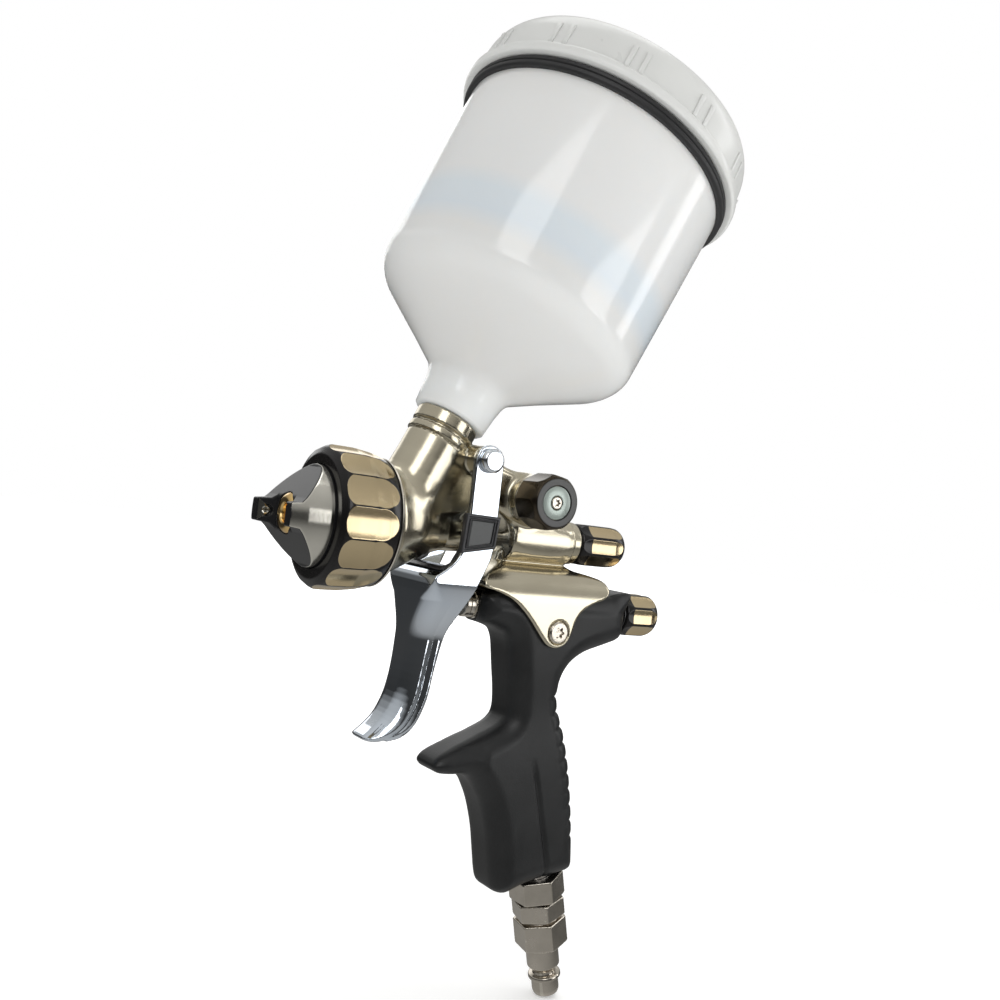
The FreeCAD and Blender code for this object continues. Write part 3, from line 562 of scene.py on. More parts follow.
def fanFloor(place, radius):
    # nearly flat facets round the side, and a round outer face
    faceted = radius > fanKnob["flat"] and place < fanKnob["outer"] - 0.5
    return fanKnob["flat"] if faceted else radius + 5


flutedPiece(
    "fanKnob", "fan",
    [(0, 12.4), (8.8, 12.4), (9.6, 13.4, 0.4), (9.8, 15, 0.5), (9.8, 20.6, 1), (9.3, 22.6, 0.8),
     (8.3, 23.9, 0.5), (7.9, 24.0), (5.8, 24.0, 0.1), (5.7, 23.2), (0, 23.2)],
    fanKnob, fanFloor, bronzeBlack, "fan_control", "fan_knob", fanKnob["flutes"] * 32, 0.4)
turnedPiece("fanKnobRim", "fan", [(5.75, 23.5), (8.1, 23.5), (8.1, 24.0), (7.9, 24.12, 0.05),
                                  (5.95, 24.12, 0.05), (5.75, 24.0)],
            greyRim, "fan_control", closed=True)
turnedPiece("fanKnobDisc", "fan", [(2.4, 23.15), (5.55, 23.15), (5.55, 23.85, 0.1), (5.3, 24.0),
                                   (2.6, 24.0), (2.4, 23.8)],
            paleDisc, "fan_control", "fan_knob_disc", closed=True)


def lobedScrew(name, axis, radius, base, top, recess, body, replaced=()):
    # A low round head with a six-lobed socket sunk in it.
    def lobed(angles, size, place):
        if size > recess * 1.3:
            return np.full(len(angles), size)
        return size * (1 + 0.2 * np.cos(6 * angles))

    profile = [(0, base), (radius, base), (radius, base + (top - base) * 0.5, 0.15),
               (radius * 0.86, top, 0.15), (recess * 1.35, top), (recess, top),
               (recess, top - 0.85), (recess * 0.35, top - 0.85), (0, top - 0.9)]
    return turnedPiece(name, axis, profile, fittingNickel, body, replaced, 96, lobed)


lobedScrew("fanKnobScrew", "fan", 2.2, 23.2, 24.1, 1.15, "fan_control", "fan_knob_screw")
print("knobs done")


turnedPiece(
    "paintCup", "cup",
    [(6.3, 27.0), (8.0, 27.0), (8.0, 40.3), (11.9, 40.3), (12.6, 41.0), (13.3, 48), (14.5, 54.5, 3),
     (26.5, 63.4), (43.6, 75.4, 5), (46.9, 80.2, 5), (47.7, 110), (48.5, 145.2), (48.5, 149.4),
     (47.6, 150.2), (47.6, 160.0), (45.9, 160.0), (45.9, 146), (45.2, 82, 6), (41.9, 76.6, 5),
     (12.8, 55.4, 3), (6.3, 43.5, 2)],
    milkyPlastic, "cup", "paint_cup", 192, closed=True, sharp=50)

turnedPiece(
    "lidGasket", "cup",
    [(48.6, 145.4), (49.9, 145.4, 0.3), (50.5, 146.0, 0.5), (50.5, 147.2), (50.1, 147.5),
     (50.5, 147.9), (50.6, 149.0, 0.3), (50.1, 149.4), (48.6, 149.4)],
    rubberBlack, "cup", "lid_gasket", 192, closed=True)

turnedPiece(
    "cupLid", "cup",
    [(48.75, 149.8), (52.3, 149.8, 0.4), (52.95, 150.6, 0.6), (52.95, 152.6, 0.4),
     (51.5, 153.5, 0.6), (51.3, 158.6), (51.1, 162.4, 2.5), (50.2, 165.6, 2.5),
     (48.8, 167.6, 1.5), (47.2, 168.5, 0.8), (46.0, 168.4), (44.6, 167.9, 1.0), (42, 167.8),
     (14, 168.3), (10, 168.9), (5.0, 169.0), (5.0, 167.2), (44.8, 166.6), (45.6, 160.4),
     (48.75, 160.4)],
    lidPlastic, "lid", "cup_lid", 224, closed=True, sharp=40)

turnedPiece(
    "lidVentCap", "cup",
    [(0, 164.2), (4.9, 164.2), (4.9, 169.1), (7.2, 169.1), (8.0, 169.7, 0.3), (8.0, 170.9, 0.6),
     (6.8, 172.0, 0.8), (2.2, 172.0), (1.6, 171.3), (0, 171.3)],
    lidPlastic, "vent_cap", "lid_vent_cap")


def startTree(name, sizes):
    # An empty piece, and a Geometry Nodes tree with a named input for each size.
    piece = bpy.data.objects.new(name, bpy.data.meshes.new(name))
    bpy.context.collection.objects.link(piece)
    tree = bpy.data.node_groups.new(name + "Tree", "GeometryNodeTree")
    for way in ("INPUT", "OUTPUT"):
        tree.interface.new_socket("Geometry", in_out=way, socket_type="NodeSocketGeometry")
    for key, value in sizes.items():
        kind = "NodeSocketInt" if isinstance(value, int) else "NodeSocketFloat"
        tree.interface.new_socket(key, in_out="INPUT", socket_type=kind)
    return piece, tree


def endTree(piece, tree, geometry, sizes, material):
    # Realized and painted, and put on the piece as a modifier with its inputs set.
    nodes, links = tree.nodes, tree.links
    real = nodes.new("GeometryNodeRealizeInstances")
    links.new(geometry, real.inputs["Geometry"])
    paint = nodes.new("GeometryNodeSetMaterial")
    paint.inputs["Material"].default_value = material
    links.new(real.outputs["Geometry"], paint.inputs["Geometry"])
    leave = nodes.new("NodeGroupOutput")
    links.new(paint.outputs["Geometry"], leave.inputs["Geometry"])
    modifier = piece.modifiers.new(tree.name, "NODES")
    modifier.node_group = tree
    for item in tree.interface.items_tree:
        if item.in_out == "INPUT" and item.name in sizes:
            modifier[item.identifier] = sizes[item.name]


def plainMesh(piece):
    # The evaluated result becomes the piece's own mesh, and the modifiers go.
    bpy.context.view_layer.update()
    evaluated = piece.evaluated_get(bpy.context.evaluated_depsgraph_get())
    mesh = bpy.data.meshes.new_from_object(evaluated)
    piece.modifiers.clear()
    piece.data = mesh


def bakePlace(piece, axis, place):
    # Points drawn about Z in millimetres are turned onto an axis and moved to the frame.
    start, along, across = [Vector(v) for v in axes[axis]]
    turn = Matrix((across, along.cross(across), along)).transposed().to_4x4()
    move = Matrix.Translation(start + along * place + Vector(datum))
    piece.data.transform(Matrix.Scale(0.001, 4) @ move @ turn)
    piece.data.update()


lidRib = {"Pairs": 12, "Radius": 51.2, "Height": 8.2, "Width": 1.7}
lidRibPlace = {"depth": 1.3, "apart": 0.048, "along": 157.6, "edge": 0.25}


def lidRibs():
    # Pairs of upright grip ribs round the lid's skirt.
    piece, tree = startTree("lidRibs", lidRib)
    nodes, links = tree.nodes, tree.links
    entry = nodes.new("NodeGroupInput")
    circle = nodes.new("GeometryNodeMeshCircle")
    links.new(entry.outputs["Pairs"], circle.inputs["Vertices"])
    links.new(entry.outputs["Radius"], circle.inputs["Radius"])
    both = nodes.new("GeometryNodeJoinGeometry")
    for turn in (-lidRibPlace["apart"], lidRibPlace["apart"]):
        rib = nodes.new("GeometryNodeMeshCube")
        size = nodes.new("ShaderNodeCombineXYZ")
        size.inputs["X"].default_value = lidRibPlace["depth"]
        links.new(entry.outputs["Width"], size.inputs["Y"])
        links.new(entry.outputs["Height"], size.inputs["Z"])
        links.new(size.outputs["Vector"], rib.inputs["Size"])
        spot = nodes.new("GeometryNodeInputPosition")
        facing = nodes.new("FunctionNodeAlignEulerToVector")
        links.new(spot.outputs["Position"], facing.inputs["Vector"])
        copies = nodes.new("GeometryNodeInstanceOnPoints")
        links.new(circle.outputs["Mesh"], copies.inputs["Points"])
        links.new(rib.outputs["Mesh"], copies.inputs["Instance"])
        links.new(facing.outputs["Rotation"], copies.inputs["Rotation"])
        real = nodes.new("GeometryNodeRealizeInstances")
        links.new(copies.outputs["Instances"], real.inputs["Geometry"])
        swing = nodes.new("GeometryNodeTransform")
        swing.inputs["Rotation"].default_value = (0, 0, turn)
        links.new(real.outputs["Geometry"], swing.inputs["Geometry"])
        links.new(swing.outputs["Geometry"], both.inputs["Geometry"])
    endTree(piece, tree, both.outputs["Geometry"], lidRib, lidPlastic)
    bevel = piece.modifiers.new("edges", "BEVEL")
    bevel.width = lidRibPlace["edge"]
    bevel.segments = 2
    bevel.limit_method = "ANGLE"
    plainMesh(piece)
    bakePlace(piece, "cup", lidRibPlace["along"])
    piece.data.polygons.foreach_set("use_smooth", [True] * len(piece.data.polygons))
    piece.data.set_sharp_from_angle(angle=math.radians(40))
    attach(piece, "lid")


lidRibs()

needleCoil = {"radius": 4.1, "wire": 0.5, "turns": 5, "low": 46.0, "high": 56.3, "travel": 5.75}
pistonCoil = {"radius": 2.7, "wire": 0.4, "turns": 9, "low": 62.0, "high": 82.5, "travel": 10.65}


def coil(name, spring, axis, body, replaced):
    # A compression spring: a spiral swept with a round wire.
    length = spring["high"] - spring["low"]
    sizes = {"Turns": float(spring["turns"]), "Radius": spring["radius"],
             "Length": length - 2 * spring["wire"], "Wire": spring["wire"]}
    piece, tree = startTree(name, sizes)
    nodes, links = tree.nodes, tree.links
    entry = nodes.new("NodeGroupInput")
    spiral = nodes.new("GeometryNodeCurveSpiral")
    spiral.inputs["Resolution"].default_value = 24
    links.new(entry.outputs["Turns"], spiral.inputs["Rotations"])
    links.new(entry.outputs["Radius"], spiral.inputs["Start Radius"])
    links.new(entry.outputs["Radius"], spiral.inputs["End Radius"])
    links.new(entry.outputs["Length"], spiral.inputs["Height"])
    section = nodes.new("GeometryNodeCurvePrimitiveCircle")
    section.inputs["Resolution"].default_value = 10
    links.new(entry.outputs["Wire"], section.inputs["Radius"])
    swept = nodes.new("GeometryNodeCurveToMesh")
    swept.inputs["Fill Caps"].default_value = True
    links.new(spiral.outputs["Curve"], swept.inputs["Curve"])
    links.new(section.outputs["Curve"], swept.inputs["Profile Curve"])
    endTree(piece, tree, swept.outputs["Mesh"], sizes, steelFinish)
    plainMesh(piece)
    bakePlace(piece, axis, spring["low"] + spring["wire"])
    facesOutward(piece)
    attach(piece, body)
    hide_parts(replaced)
    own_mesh(piece)


coil("needleSpring", needleCoil, "spray", "gun", "needle_spring")
coil("airPistonSpring", pistonCoil, "air", "gun", "air_piston_spring")
print("cup and lid done")

metalBody = {"step": 0.5, "cheek": 13.0, "boss": 8.6}
bridgeLoop = curvedLoop([
    (-4, 4), (0, 16), (6, 27), (13, 28.4), (19, 28.6), (23, 25.6), (30, 22.8), (38, 22.2),
    (45, 21.4), (49, 15), (50, 6), (59.6, 5), (59.6, -6), (34.2, -6), (33.6, 4), (27, 8.6),
    (18, 8.6), (12, 4)])
plateLoop = curvedLoop([
    (33, -3), (31.6, -9), (25, -11.8), (22.2, -14.6), (22.6, -17.2), (28, -18.2), (34.3, -20.6),
    (41, -26), (46.4, -32), (50, -35.6), (54, -36.4), (58, -34.8), (60.2, -30.6), (61, -26.4),
    (63.4, -22.8), (68, -20), (73.6, -18.2), (76, -15.4), (74.4, -11.9), (68, -10.4),
    (60.3, -9.2), (59.8, -3)])


def neckRadius(place):
    return np.interp(place, [0, 6, 12, 18, 24], [12.2, 12.0, 11.0, 10.4, 10.2])


def barrelRadius(place):
    places = [-14.5, -12.5, -4, 1, 5, 9, 19]
    return np.interp(place, places, [17.7, 17.1, 12.8, 10.2, 8.4, 7.1, 6.6])


def bodyField(x, y, z):
    side = np.abs(y)
    barrel = rodField(x, y, z, "spray", barrelRadius, -14.5, 19.0, 0.8) * 0.85
    neck = rodField(x, y, z, "cup", neckRadius, 0, 31.2, 0.5)
    shape = blendUnion(barrel, neck, 4.0)
    bridge = softBoth(outlineField(x, z, bridgeLoop), side - 8.0, 2.6)
    shape = blendUnion(shape, bridge, 3.6)
    lug = rodField(x, y, z, "pivot", 4.8, -12.6, 12.6, 0.5)
    shape = blendUnion(shape, lug, 1.8)
    boss = rodField(x, y, z, "fan", metalBody["boss"], -9.4, 12.0, 0.6)
    shape = blendUnion(shape, boss, 2.4)
    housing = rodField(x, y, z, "spray", 8.6, 34.0, 60.2, 0.8)
    shape = blendUnion(shape, housing, 1.2)
    # the plate's upper part bulges round the air valve, and its cheeks hang down flat
    bulge = np.sqrt(np.maximum(metalBody["cheek"] ** 2 - np.maximum(z + 21.0, 0) ** 2, 4.0))
    plate = softBoth(outlineField(x, z, plateLoop), side - bulge, 0.9)
    shape = blendUnion(shape, plate, 1.6)
    # two collars round the neck's mouth, where the cup's foot screws in
    collars = rodField(x, y, z, "cup", 10.7, 31.6, 34.2, 0.35)
    collars = np.minimum(collars, rodField(x, y, z, "cup", 9.7, 30, 39.5, 0.2))
    collars = np.minimum(collars, rodField(x, y, z, "cup", 10.7, 35.3, 40.0, 0.4))
    shape = np.minimum(shape, collars)
    # room for the grip between the cheeks, then the bores and the sunk side screws
    slot = np.maximum(np.maximum(z + 17.3, side - 11.6), 24.7 - x)
    shape = blendCut(shape, slot, 0.3)
    shape = blendCut(shape, rodField(x, y, z, "cup", 8.1, 26.5, 42, 0.1), 0.3)
    shape = blendCut(shape, rodField(x, y, z, "spray", 5.05, 7.6, 21, 0.1), 0.3)
    sink = np.hypot(x - gun["sideScrew"][0], z - gun["sideScrew"][1]) - 4.25
    return blendCut(shape, np.maximum(sink, 12.3 - side), 0.3)


carvedPiece("gunBody", bodyField, (-15.5, -18.8, -38), (78, 18.8, 41), metalBody["step"],
            satinNickel, "gun", "gun_body")
turnedPiece("headBoss", "spray", [(7.1, -27.5), (16.4, -27.5), (17.0, -27.0), (17.0, -14.4),
                                  (7.1, -14.4)], satinNickel, "gun", closed=True)
print("body done")


grip = {"half": 11.3, "round": 7.6, "step": 0.6, "ribPitch": 5.7, "ribDepth": 1.5}
gripLoop = curvedLoop([
    (25.2, -18.0), (50, -17.9), (76, -17.9), (81, -15.6), (87.2, -15.2), (87.4, -24), (87.2, -32.8),
    (79, -35.6), (71, -38.2), (65.4, -42), (62.4, -47), (61.9, -53), (63.2, -58.6), (66.6, -66),
    (69.8, -76), (72.3, -86), (74.4, -96), (76.0, -106), (77.2, -116.2), (68, -118),
    (57, -120.0), (52, -122.0), (48.6, -123.2), (44.6, -121.8), (43.3, -118), (42.0, -112),
    (39.8, -102), (36.2, -92), (32, -85), (27.6, -81.0), (21.4, -81.0), (16.4, -80.4),
    (14.3, -78.2), (16.4, -75.0), (24, -71.3), (33, -67.4), (39.6, -64.2), (42.3, -61),
    (41.8, -54), (40.0, -44), (38.6, -36), (36.4, -32.2), (31.6, -30.6), (25.4, -29.4)])


def gripField(x, y, z):
    side = np.abs(y)
    # down and across follow the leaning grip
    down = (x - gun["gripCross"]) * math.sin(lean) - z * math.cos(lean)
    across = (x - gun["gripCross"]) * math.cos(lean) + z * math.sin(lean)
    outline = outlineField(x, z, gripLoop)
    # the hook thins towards its tip, and the grip has a slight waist just above it
    half = grip["half"] - 3.0 * np.clip((34 - x) / 18, 0, 1) * np.clip((-66 - z) / 6, 0, 1)
    half = half - 0.8 * np.exp(-((down - 62) / 14) ** 2)
    edge = np.clip(3.0 + (-17.5 - z) * 0.9, 1.2, grip["round"])
    edge = np.minimum(edge, np.where(z < -66, np.clip(2.6 + (x - 14) * 0.28, 2.6, 8), 8))
    shape = softBoth(outline, side - half, edge)
    # cross ribs down the back of the grip
    notch = 1.0 - np.abs(np.sin((down - 58.0) / grip["ribPitch"] * math.pi))
    band = np.clip((down - 53) / 2, 0, 1) * np.clip((112 - down) / 2, 0, 1)
    rear = np.clip((across - 5.5) / 3.0, 0, 1) * np.exp(-(side / 9.5) ** 6)
    shape = shape + grip["ribDepth"] * notch ** 2 * band * rear
    # the line of the inlay on the lower front
    edgeLine = np.abs(across + 3.2 - 0.03 * (down - 80)) - 0.3
    low = np.clip((down - 76) / 8, 0, 1)
    shape = shape + 0.7 * np.exp(-np.maximum(edgeLine, 0) ** 2 / 0.12) * low
    shape = blendCut(shape, rodField(x, y, z, "air", 4.95, 24, 89, 0.1), 0.3)
    return blendCut(shape, rodField(x, y, z, "grip", 5.5, 100, 130, 0.1), 0.3)


carvedPiece("grip", gripField, (13, -12.5, -125), (89, 12.5, -14), grip["step"], satinBlack,
            "gun", "grip")
print("grip done")


trigger = {"step": 0.4, "sheet": 2.0, "armHalf": 15.4, "bladeIn": 6.7}
armLoop = curvedLoop([
    (10.8, 24.3), (12.2, 28.2), (16.2, 29.7), (20.2, 28.2), (21.6, 24.3), (21.8, 16), (21.9, 6),
    (21.7, -6), (19.4, -12), (17, -17.5), (13.9, -26), (10.9, -35), (8.9, -46), (7.9, -54.8),
    (5.9, -61), (2.9, -66.2), (-2, -69.6), (-8, -70.4), (-12.4, -69.2), (-8.6, -66), (-4.8, -62),
    (-1.8, -55), (-0.4, -46), (0, -30), (0.4, -15), (3.4, -13.2), (8, -9.6), (10.8, -4), (11.2, 6)])


def triggerHollow(x, y, z):
    # wide at the arms and narrow at the blade; the front corners are well rounded
    outline = outlineField(x, z, armLoop)
    share = np.clip((-z - 16) / 20, 0, 1)
    half = trigger["armHalf"] - trigger["bladeIn"] * share * share * (3 - 2 * share)
    turn = np.clip((-z - 15) * 0.8, 0.4, 6.0)
    # the outline carried on to the rear, where the channel is open and has no round edge
    behind = np.minimum(outlineField(x - 4, z, armLoop), outlineField(x - 8, z, armLoop))
    side = np.abs(y)
    outer = np.maximum(softBoth(np.minimum(outline, behind), side - half, turn), outline)
    inner = softBoth(np.minimum(outline + trigger["sheet"], behind), side - half + trigger["sheet"],
                     np.maximum(turn - 2, 0.2))
    # no web joins the two arms above the blade
    above = np.maximum(side - half + trigger["sheet"], -12.6 - z)
    return outer, np.minimum(inner, above)


def triggerField(x, y, z):
    outer, hollow = triggerHollow(x, y, z)
    shape = blendCut(outer, hollow, 0.4)
    side = np.abs(y)
    hole = np.hypot(x - gun["pivot"][0], z - gun["pivot"][1]) - 2.55
    shape = np.maximum(shape, -hole)
    # the yoke between the arms pushes the needle, which runs in its slot
    yoke = np.maximum(np.maximum(np.abs(x - 21.6) - 1.3, np.abs(z + 0.4) - 4.7), side - 13.6)
    slot = np.maximum(side - 2.0, z - 2.6)
    return np.minimum(shape, np.maximum(yoke, -slot))


def linerField(x, y, z):
    # black lining on the inside of the arms and round the top of the blade
    hollow = triggerHollow(x, y, z)[1]
    front = np.interp(z, [-26, -14, -10, -4, 6], [0.1, 0.4, 7.6, 10.8, 11.2])
    skin = np.maximum(hollow + 0.05, -(hollow + 1.3))
    skin = np.maximum(skin, x - front - 5.5)
    skin = np.maximum(skin, front - 0.2 - x)
    return np.maximum(skin, np.abs(z + 10.5) - 15.5)


carvedPiece("trigger", triggerField, (-15, -16.4, -72), (24, 16.4, 31), trigger["step"],
            chromeFinish, "trigger", "trigger")
carvedPiece("triggerLiner", linerField, (-2, -14.5, -27), (19, 14.5, 6), 0.4, darkPlastic,
            "trigger", sharp=40)

turnedPiece("triggerPivotPin", "pivot",
            [(0, -15.4), (2.45, -15.4), (2.45, 15.4), (4.0, 15.5), (4.1, 15.9, 0.2), (4.1, 17.3, 0.4),
             (3.3, 18.2, 0.5), (0, 18.2)],
            chromeFinish, "gun", "trigger_pivot_pin", 64)
turnedPiece("triggerPinClip", "pivot",
            [(0, -15.5), (4.1, -15.5), (4.1, -17.4, 0.4), (3.4, -18.2, 0.4), (0, -18.2)],
            chromeFinish, "gun", "trigger_pin_clip", 64)


clipLoop = [(8.6, 6.6), (21.6, 6.4), (20.8, -4.0), (8.0, -6.4)]
clipPanel = [(10.9, 4.6), (19.5, 4.5), (18.9, -2.5), (10.4, -4.3)]


def clipField(x, y, z):
    # A square frame with a sunk panel, one on each arm.
    side = np.abs(y)
    outline = outlineField(x, z, clipLoop)
    block = softBoth(outline, np.abs(side - 16.5) - 1.1, 0.35)
    groove = np.maximum(np.abs(outline + 1.25) - 0.28, 17.2 - side)
    panel = np.maximum(outline + 1.9, 17.0 - side)
    return np.maximum(np.maximum(block, -groove), -panel)


def clipPanelField(side):
    def field(x, y, z):
        return softBoth(outlineField(x, z, clipPanel), np.abs(y * side - 16.7) - 0.55, 0.25)
    return field


carvedPiece("triggerClips", clipField, (7, -18, -8), (23, 18, 8), 0.25, darkPlastic, "trigger",
            "trigger_clips")
for side, name in ((-1, "clipPanelLeft"), (1, "clipPanelRight")):
    inner, outer = sorted((side * 15.6, side * 17.8))
    carvedPiece(name, clipPanelField(side), (9.5, inner, -6), (21, outer, 6), 0.25, greyPlastic,
                "trigger")
print("trigger done")


cap = {"face": -45.8, "tip": -50.5, "step": 0.3}
capWedge = [(-33, -17.2), (-33, 17.2), (-37.4, 17.2), (-38.0, 15.2), (-45.8, 5.2), (-47, 4.0),
            (-51, 3.5), (-51, -3.5), (-47, -4.0), (-45.8, -5.2), (-38.0, -15.2), (-37.4, -17.2)]


def capBarrel(x, y, z):
    def size(place):
        return np.interp(place, [-50.5, -45, -36.6, -33.1, -33.0], [15.6, 16.1, 16.2, 16.2, 17.0])

    return rodField(x, y, z, "spray", size, cap["tip"], -30.6, 0.4)


def capField(x, y, z):
    side = np.abs(y)
    barrel = capBarrel(x, y, z)
    shape = softBoth(barrel, outlineField(x, z, capWedge), 0.4)
    shape = np.minimum(shape, np.maximum(barrel, -33 - x))
    # the horns' inner faces slope down to the gold centre
    slope = (side - 6.7 - (cap["face"] - x)) * 0.707
    shape = blendCut(shape, np.maximum(x - cap["face"], slope), 0.5)
    shape = blendCut(shape, rodField(x, y, z, "spray", 6.45, -52, -42.6, 0.1), 0.3)
    shape = blendCut(shape, rodField(x, y, z, "spray", 7.4, -43, -30, 0.3), 0.3)
    # a drilled spot face in each horn
    hole = np.sqrt((x + 48.2) ** 2 + z ** 2)
    shape = np.maximum(shape, -np.maximum(hole - 1.9, side - 9.6))
    return np.maximum(shape, -np.maximum(hole - 0.8, side - 12.0))


airCap = carvedPiece("airCap", capField, (-51.5, -18, -18), (-30, 18, 18), cap["step"], capFinish,
                     "air_cap", "air_cap", sharp=38)

# the round sides are bare metal, and the slanting faces black
corners = np.zeros(len(airCap.data.vertices) * 3)
airCap.data.vertices.foreach_get("co", corners)
capX, capY, capZ = (corners.reshape(-1, 3) * 1000 - datum).T
bare = outlineField(capX, capZ, capWedge) - capBarrel(capX, capY, capZ)
bare = np.where((capX > -36.9) | (capX < -50.2), -1.0, -bare)
mark = airCap.data.attributes.new("bareMetal", "FLOAT", "POINT")
mark.data.foreach_set("value", bare)

turnedPiece("airCapInsert", "spray",
            [(2.8, -42.6), (2.8, -45.6), (3.2, -46.2, 0.3), (5.0, -46.3, 0.8), (6.37, -45.0, 1),
             (6.37, -42.6)],
            goldFinish, "air_cap", "air_cap_insert", 96, closed=True)
turnedPiece("fluidNozzle", "spray",
            [(1.75, -42.7), (1.3, -43.6), (2.15, -43.6), (2.2, -40.4), (5.3, -35.7), (7.8, -35.0),
             (7.8, -30.9), (8.2, -30.9), (8.2, -27.5), (7.0, -27.5), (7.0, -19.0), (5.6, -19.0),
             (5.6, -29.5), (1.75, -33.5)],
            goldFinish, "gun", "fluid_nozzle", 96, closed=True)
turnedPiece("airDistributionRing", "spray",
            [(8.3, -30.3), (16.6, -30.3), (16.6, -27.5), (8.3, -27.5)], steelFinish, "gun",
            "air_distribution_ring", 96, closed=True)
print("head done")

# the collar behind the housing, then the parts inside the gun and the plate's two screws
turnedPiece("fluidKnobCollar", "spray",
            [(2.4, 56.3), (5.55, 56.3), (5.55, 60.3), (7.1, 60.3), (7.5, 60.7, 0.2), (7.5, 63.3, 0.3),
             (6.9, 63.9), (2.4, 63.9)], satinNickel, "gun", "fluid_knob_collar", 96, closed=True)
turnedPiece("fluidNeedle", "spray",
            [(0, -43.2), (0.5, -43.0), (1.5, -34.6), (1.5, 23.3), (3.4, 23.3, 0.3), (3.4, 26.3, 0.3),
             (1.5, 26.3), (1.5, 44.0), (4.6, 44.0), (4.6, 46.0), (1.5, 46.0), (1.5, 49.0), (0, 49.0)],
            steelFinish, "needle", "fluid_needle", 48)
turnedPiece("needlePacking", "spray", [(1.7, 7.6), (4.9, 7.6), (4.9, 10.2), (1.7, 10.2)],
            whiteSeal, "gun", "needle_packing", 48, closed=True)
turnedPiece("packingScrew", "spray", [(1.7, 10.2), (4.9, 10.2), (4.9, 18.2, 0.3), (4.5, 18.6),
                                      (1.9, 18.6), (1.7, 18.3)],
            brassFinish, "gun", "packing_screw", 48, closed=True)
turnedPiece("airValveBody", "air", [(3.8, 25.0), (4.9, 25.0), (4.9, 86.5), (3.8, 86.5)],
            fittingNickel, "gun", "air_valve_body", 64, closed=True)
turnedPiece("airPiston", "air", [(0, 2.6), (1.3, 2.6), (1.6, 3.0), (1.6, 58.0), (3.2, 58.3),
                                 (3.2, 62.0), (0, 62.0)],
            steelFinish, "air_piston", "air_piston", 48)
turnedPiece("airPackingNut", "air",
            [(1.65, 21.0), (4.1, 21.0), (4.5, 21.4, 0.2), (4.5, 22.8), (4.2, 23.0), (4.5, 23.2),
             (4.5, 25.0), (3.75, 25.0), (3.75, 29.0), (1.65, 29.0)],
            fittingNickel, "gun", "air_packing_nut", 96, closed=True)
turnedPiece("airValveSeat", "air", [(2.1, 55.0), (3.75, 55.0), (3.75, 57.6), (2.1, 57.6)],
            whiteSeal, "gun", "air_valve_seat", 48, closed=True)
turnedPiece("micrometerBush", "air",
            [(0, 82.5), (3.75, 82.5), (3.75, 86.5), (4.7, 86.5), (4.7, 87.8), (6.2, 87.8),
             (6.6, 88.0), (6.6, 88.3), (0, 88.3)], blackGloss, "gun", "micrometer_bush", 64)
turnedPiece("fanValveBush", "fan", [(2.05, 6.0), (4.5, 6.0), (4.5, 12.0), (2.05, 12.0)],
            brassFinish, "gun", "fan_valve_bush", 48, closed=True)
turnedPiece("fanSpindle", "fan", [(0, -5.0), (1.0, -5.0), (3.4, -2.0), (3.4, 5.7), (2.0, 5.7),
                                  (2.0, 17.4), (0, 17.4)],
            steelFinish, "fan_control", "fan_spindle", 48)
turnedPiece("paintStrainer", "cup", [(5.1, 31.3), (6.2, 31.3), (6.2, 54.3), (5.1, 54.3)],
            whiteSeal, "cup", "paint_strainer", 48, closed=True)

lobedScrew("plateScrewLeft", "sideLeft", 3.9, 12.3, 13.55, 1.75, "gun", "plate_screws")
lobedScrew("plateScrewRight", "sideRight", 3.9, 12.3, 13.55, 1.75, "gun")

fitting = {"across": 16.6, "flangeAcross": 17.4, "step": 0.3}


def hexField(x, y, z, across, low, high, turn):
    # a hexagon with chamfered corners; the grip's axis lies in the plane y = 0
    start, along, square = axes["grip"]
    third = np.cross(along, square)
    dx, dz = x - start[0], z - start[2]
    place = dx * along[0] + dz * along[2]
    sideways = dx * third[0] + dz * third[2]
    away = np.hypot(y, sideways)
    flats = None
    for side in range(3):
        angle = math.radians(60 * side + 30 + turn)
        face = np.abs(y * math.cos(angle) + sideways * math.sin(angle)) - across / 2
        flats = face if flats is None else np.maximum(flats, face)
    ends = np.abs(place - (low + high) / 2) - (high - low) / 2
    chamfer = (away - across * 0.545) * 0.5 + ends * 0.86
    return np.maximum(softBoth(flats, ends, 0.15), np.maximum(chamfer, ends))


def hexPiece(name, field, middle, reach, replaced):
    # carves a field inside a box round one place on the grip's axis
    centre = np.array(axes["grip"][0]) + np.array(axes["grip"][1]) * middle
    carvedPiece(name, field, centre - reach, centre + reach, fitting["step"], fittingNickel, "gun",
                replaced)


def nutPiece(name, across, low, high, turn, replaced):
    def field(x, y, z):
        bore = rodField(x, y, z, "grip", 5.5, low - 1, high + 1, 0.1)
        return blendCut(hexField(x, y, z, across, low, high, turn), bore, 0.2)

    reach = across * 0.62 + (high - low) * 0.2
    hexPiece(name, field, (low + high) / 2, (reach, across * 0.6, reach), replaced)


def plugField(x, y, z):
    hexPart = hexField(x, y, z, fitting["across"], 139.4, 149.0, 8)
    stem = rodField(x, y, z, "grip", 7.0, 138.4, 150.2, 0.3)
    return blendCut(np.minimum(hexPart, stem), rodField(x, y, z, "grip", 3.2, 130, 160, 0.1), 0.2)


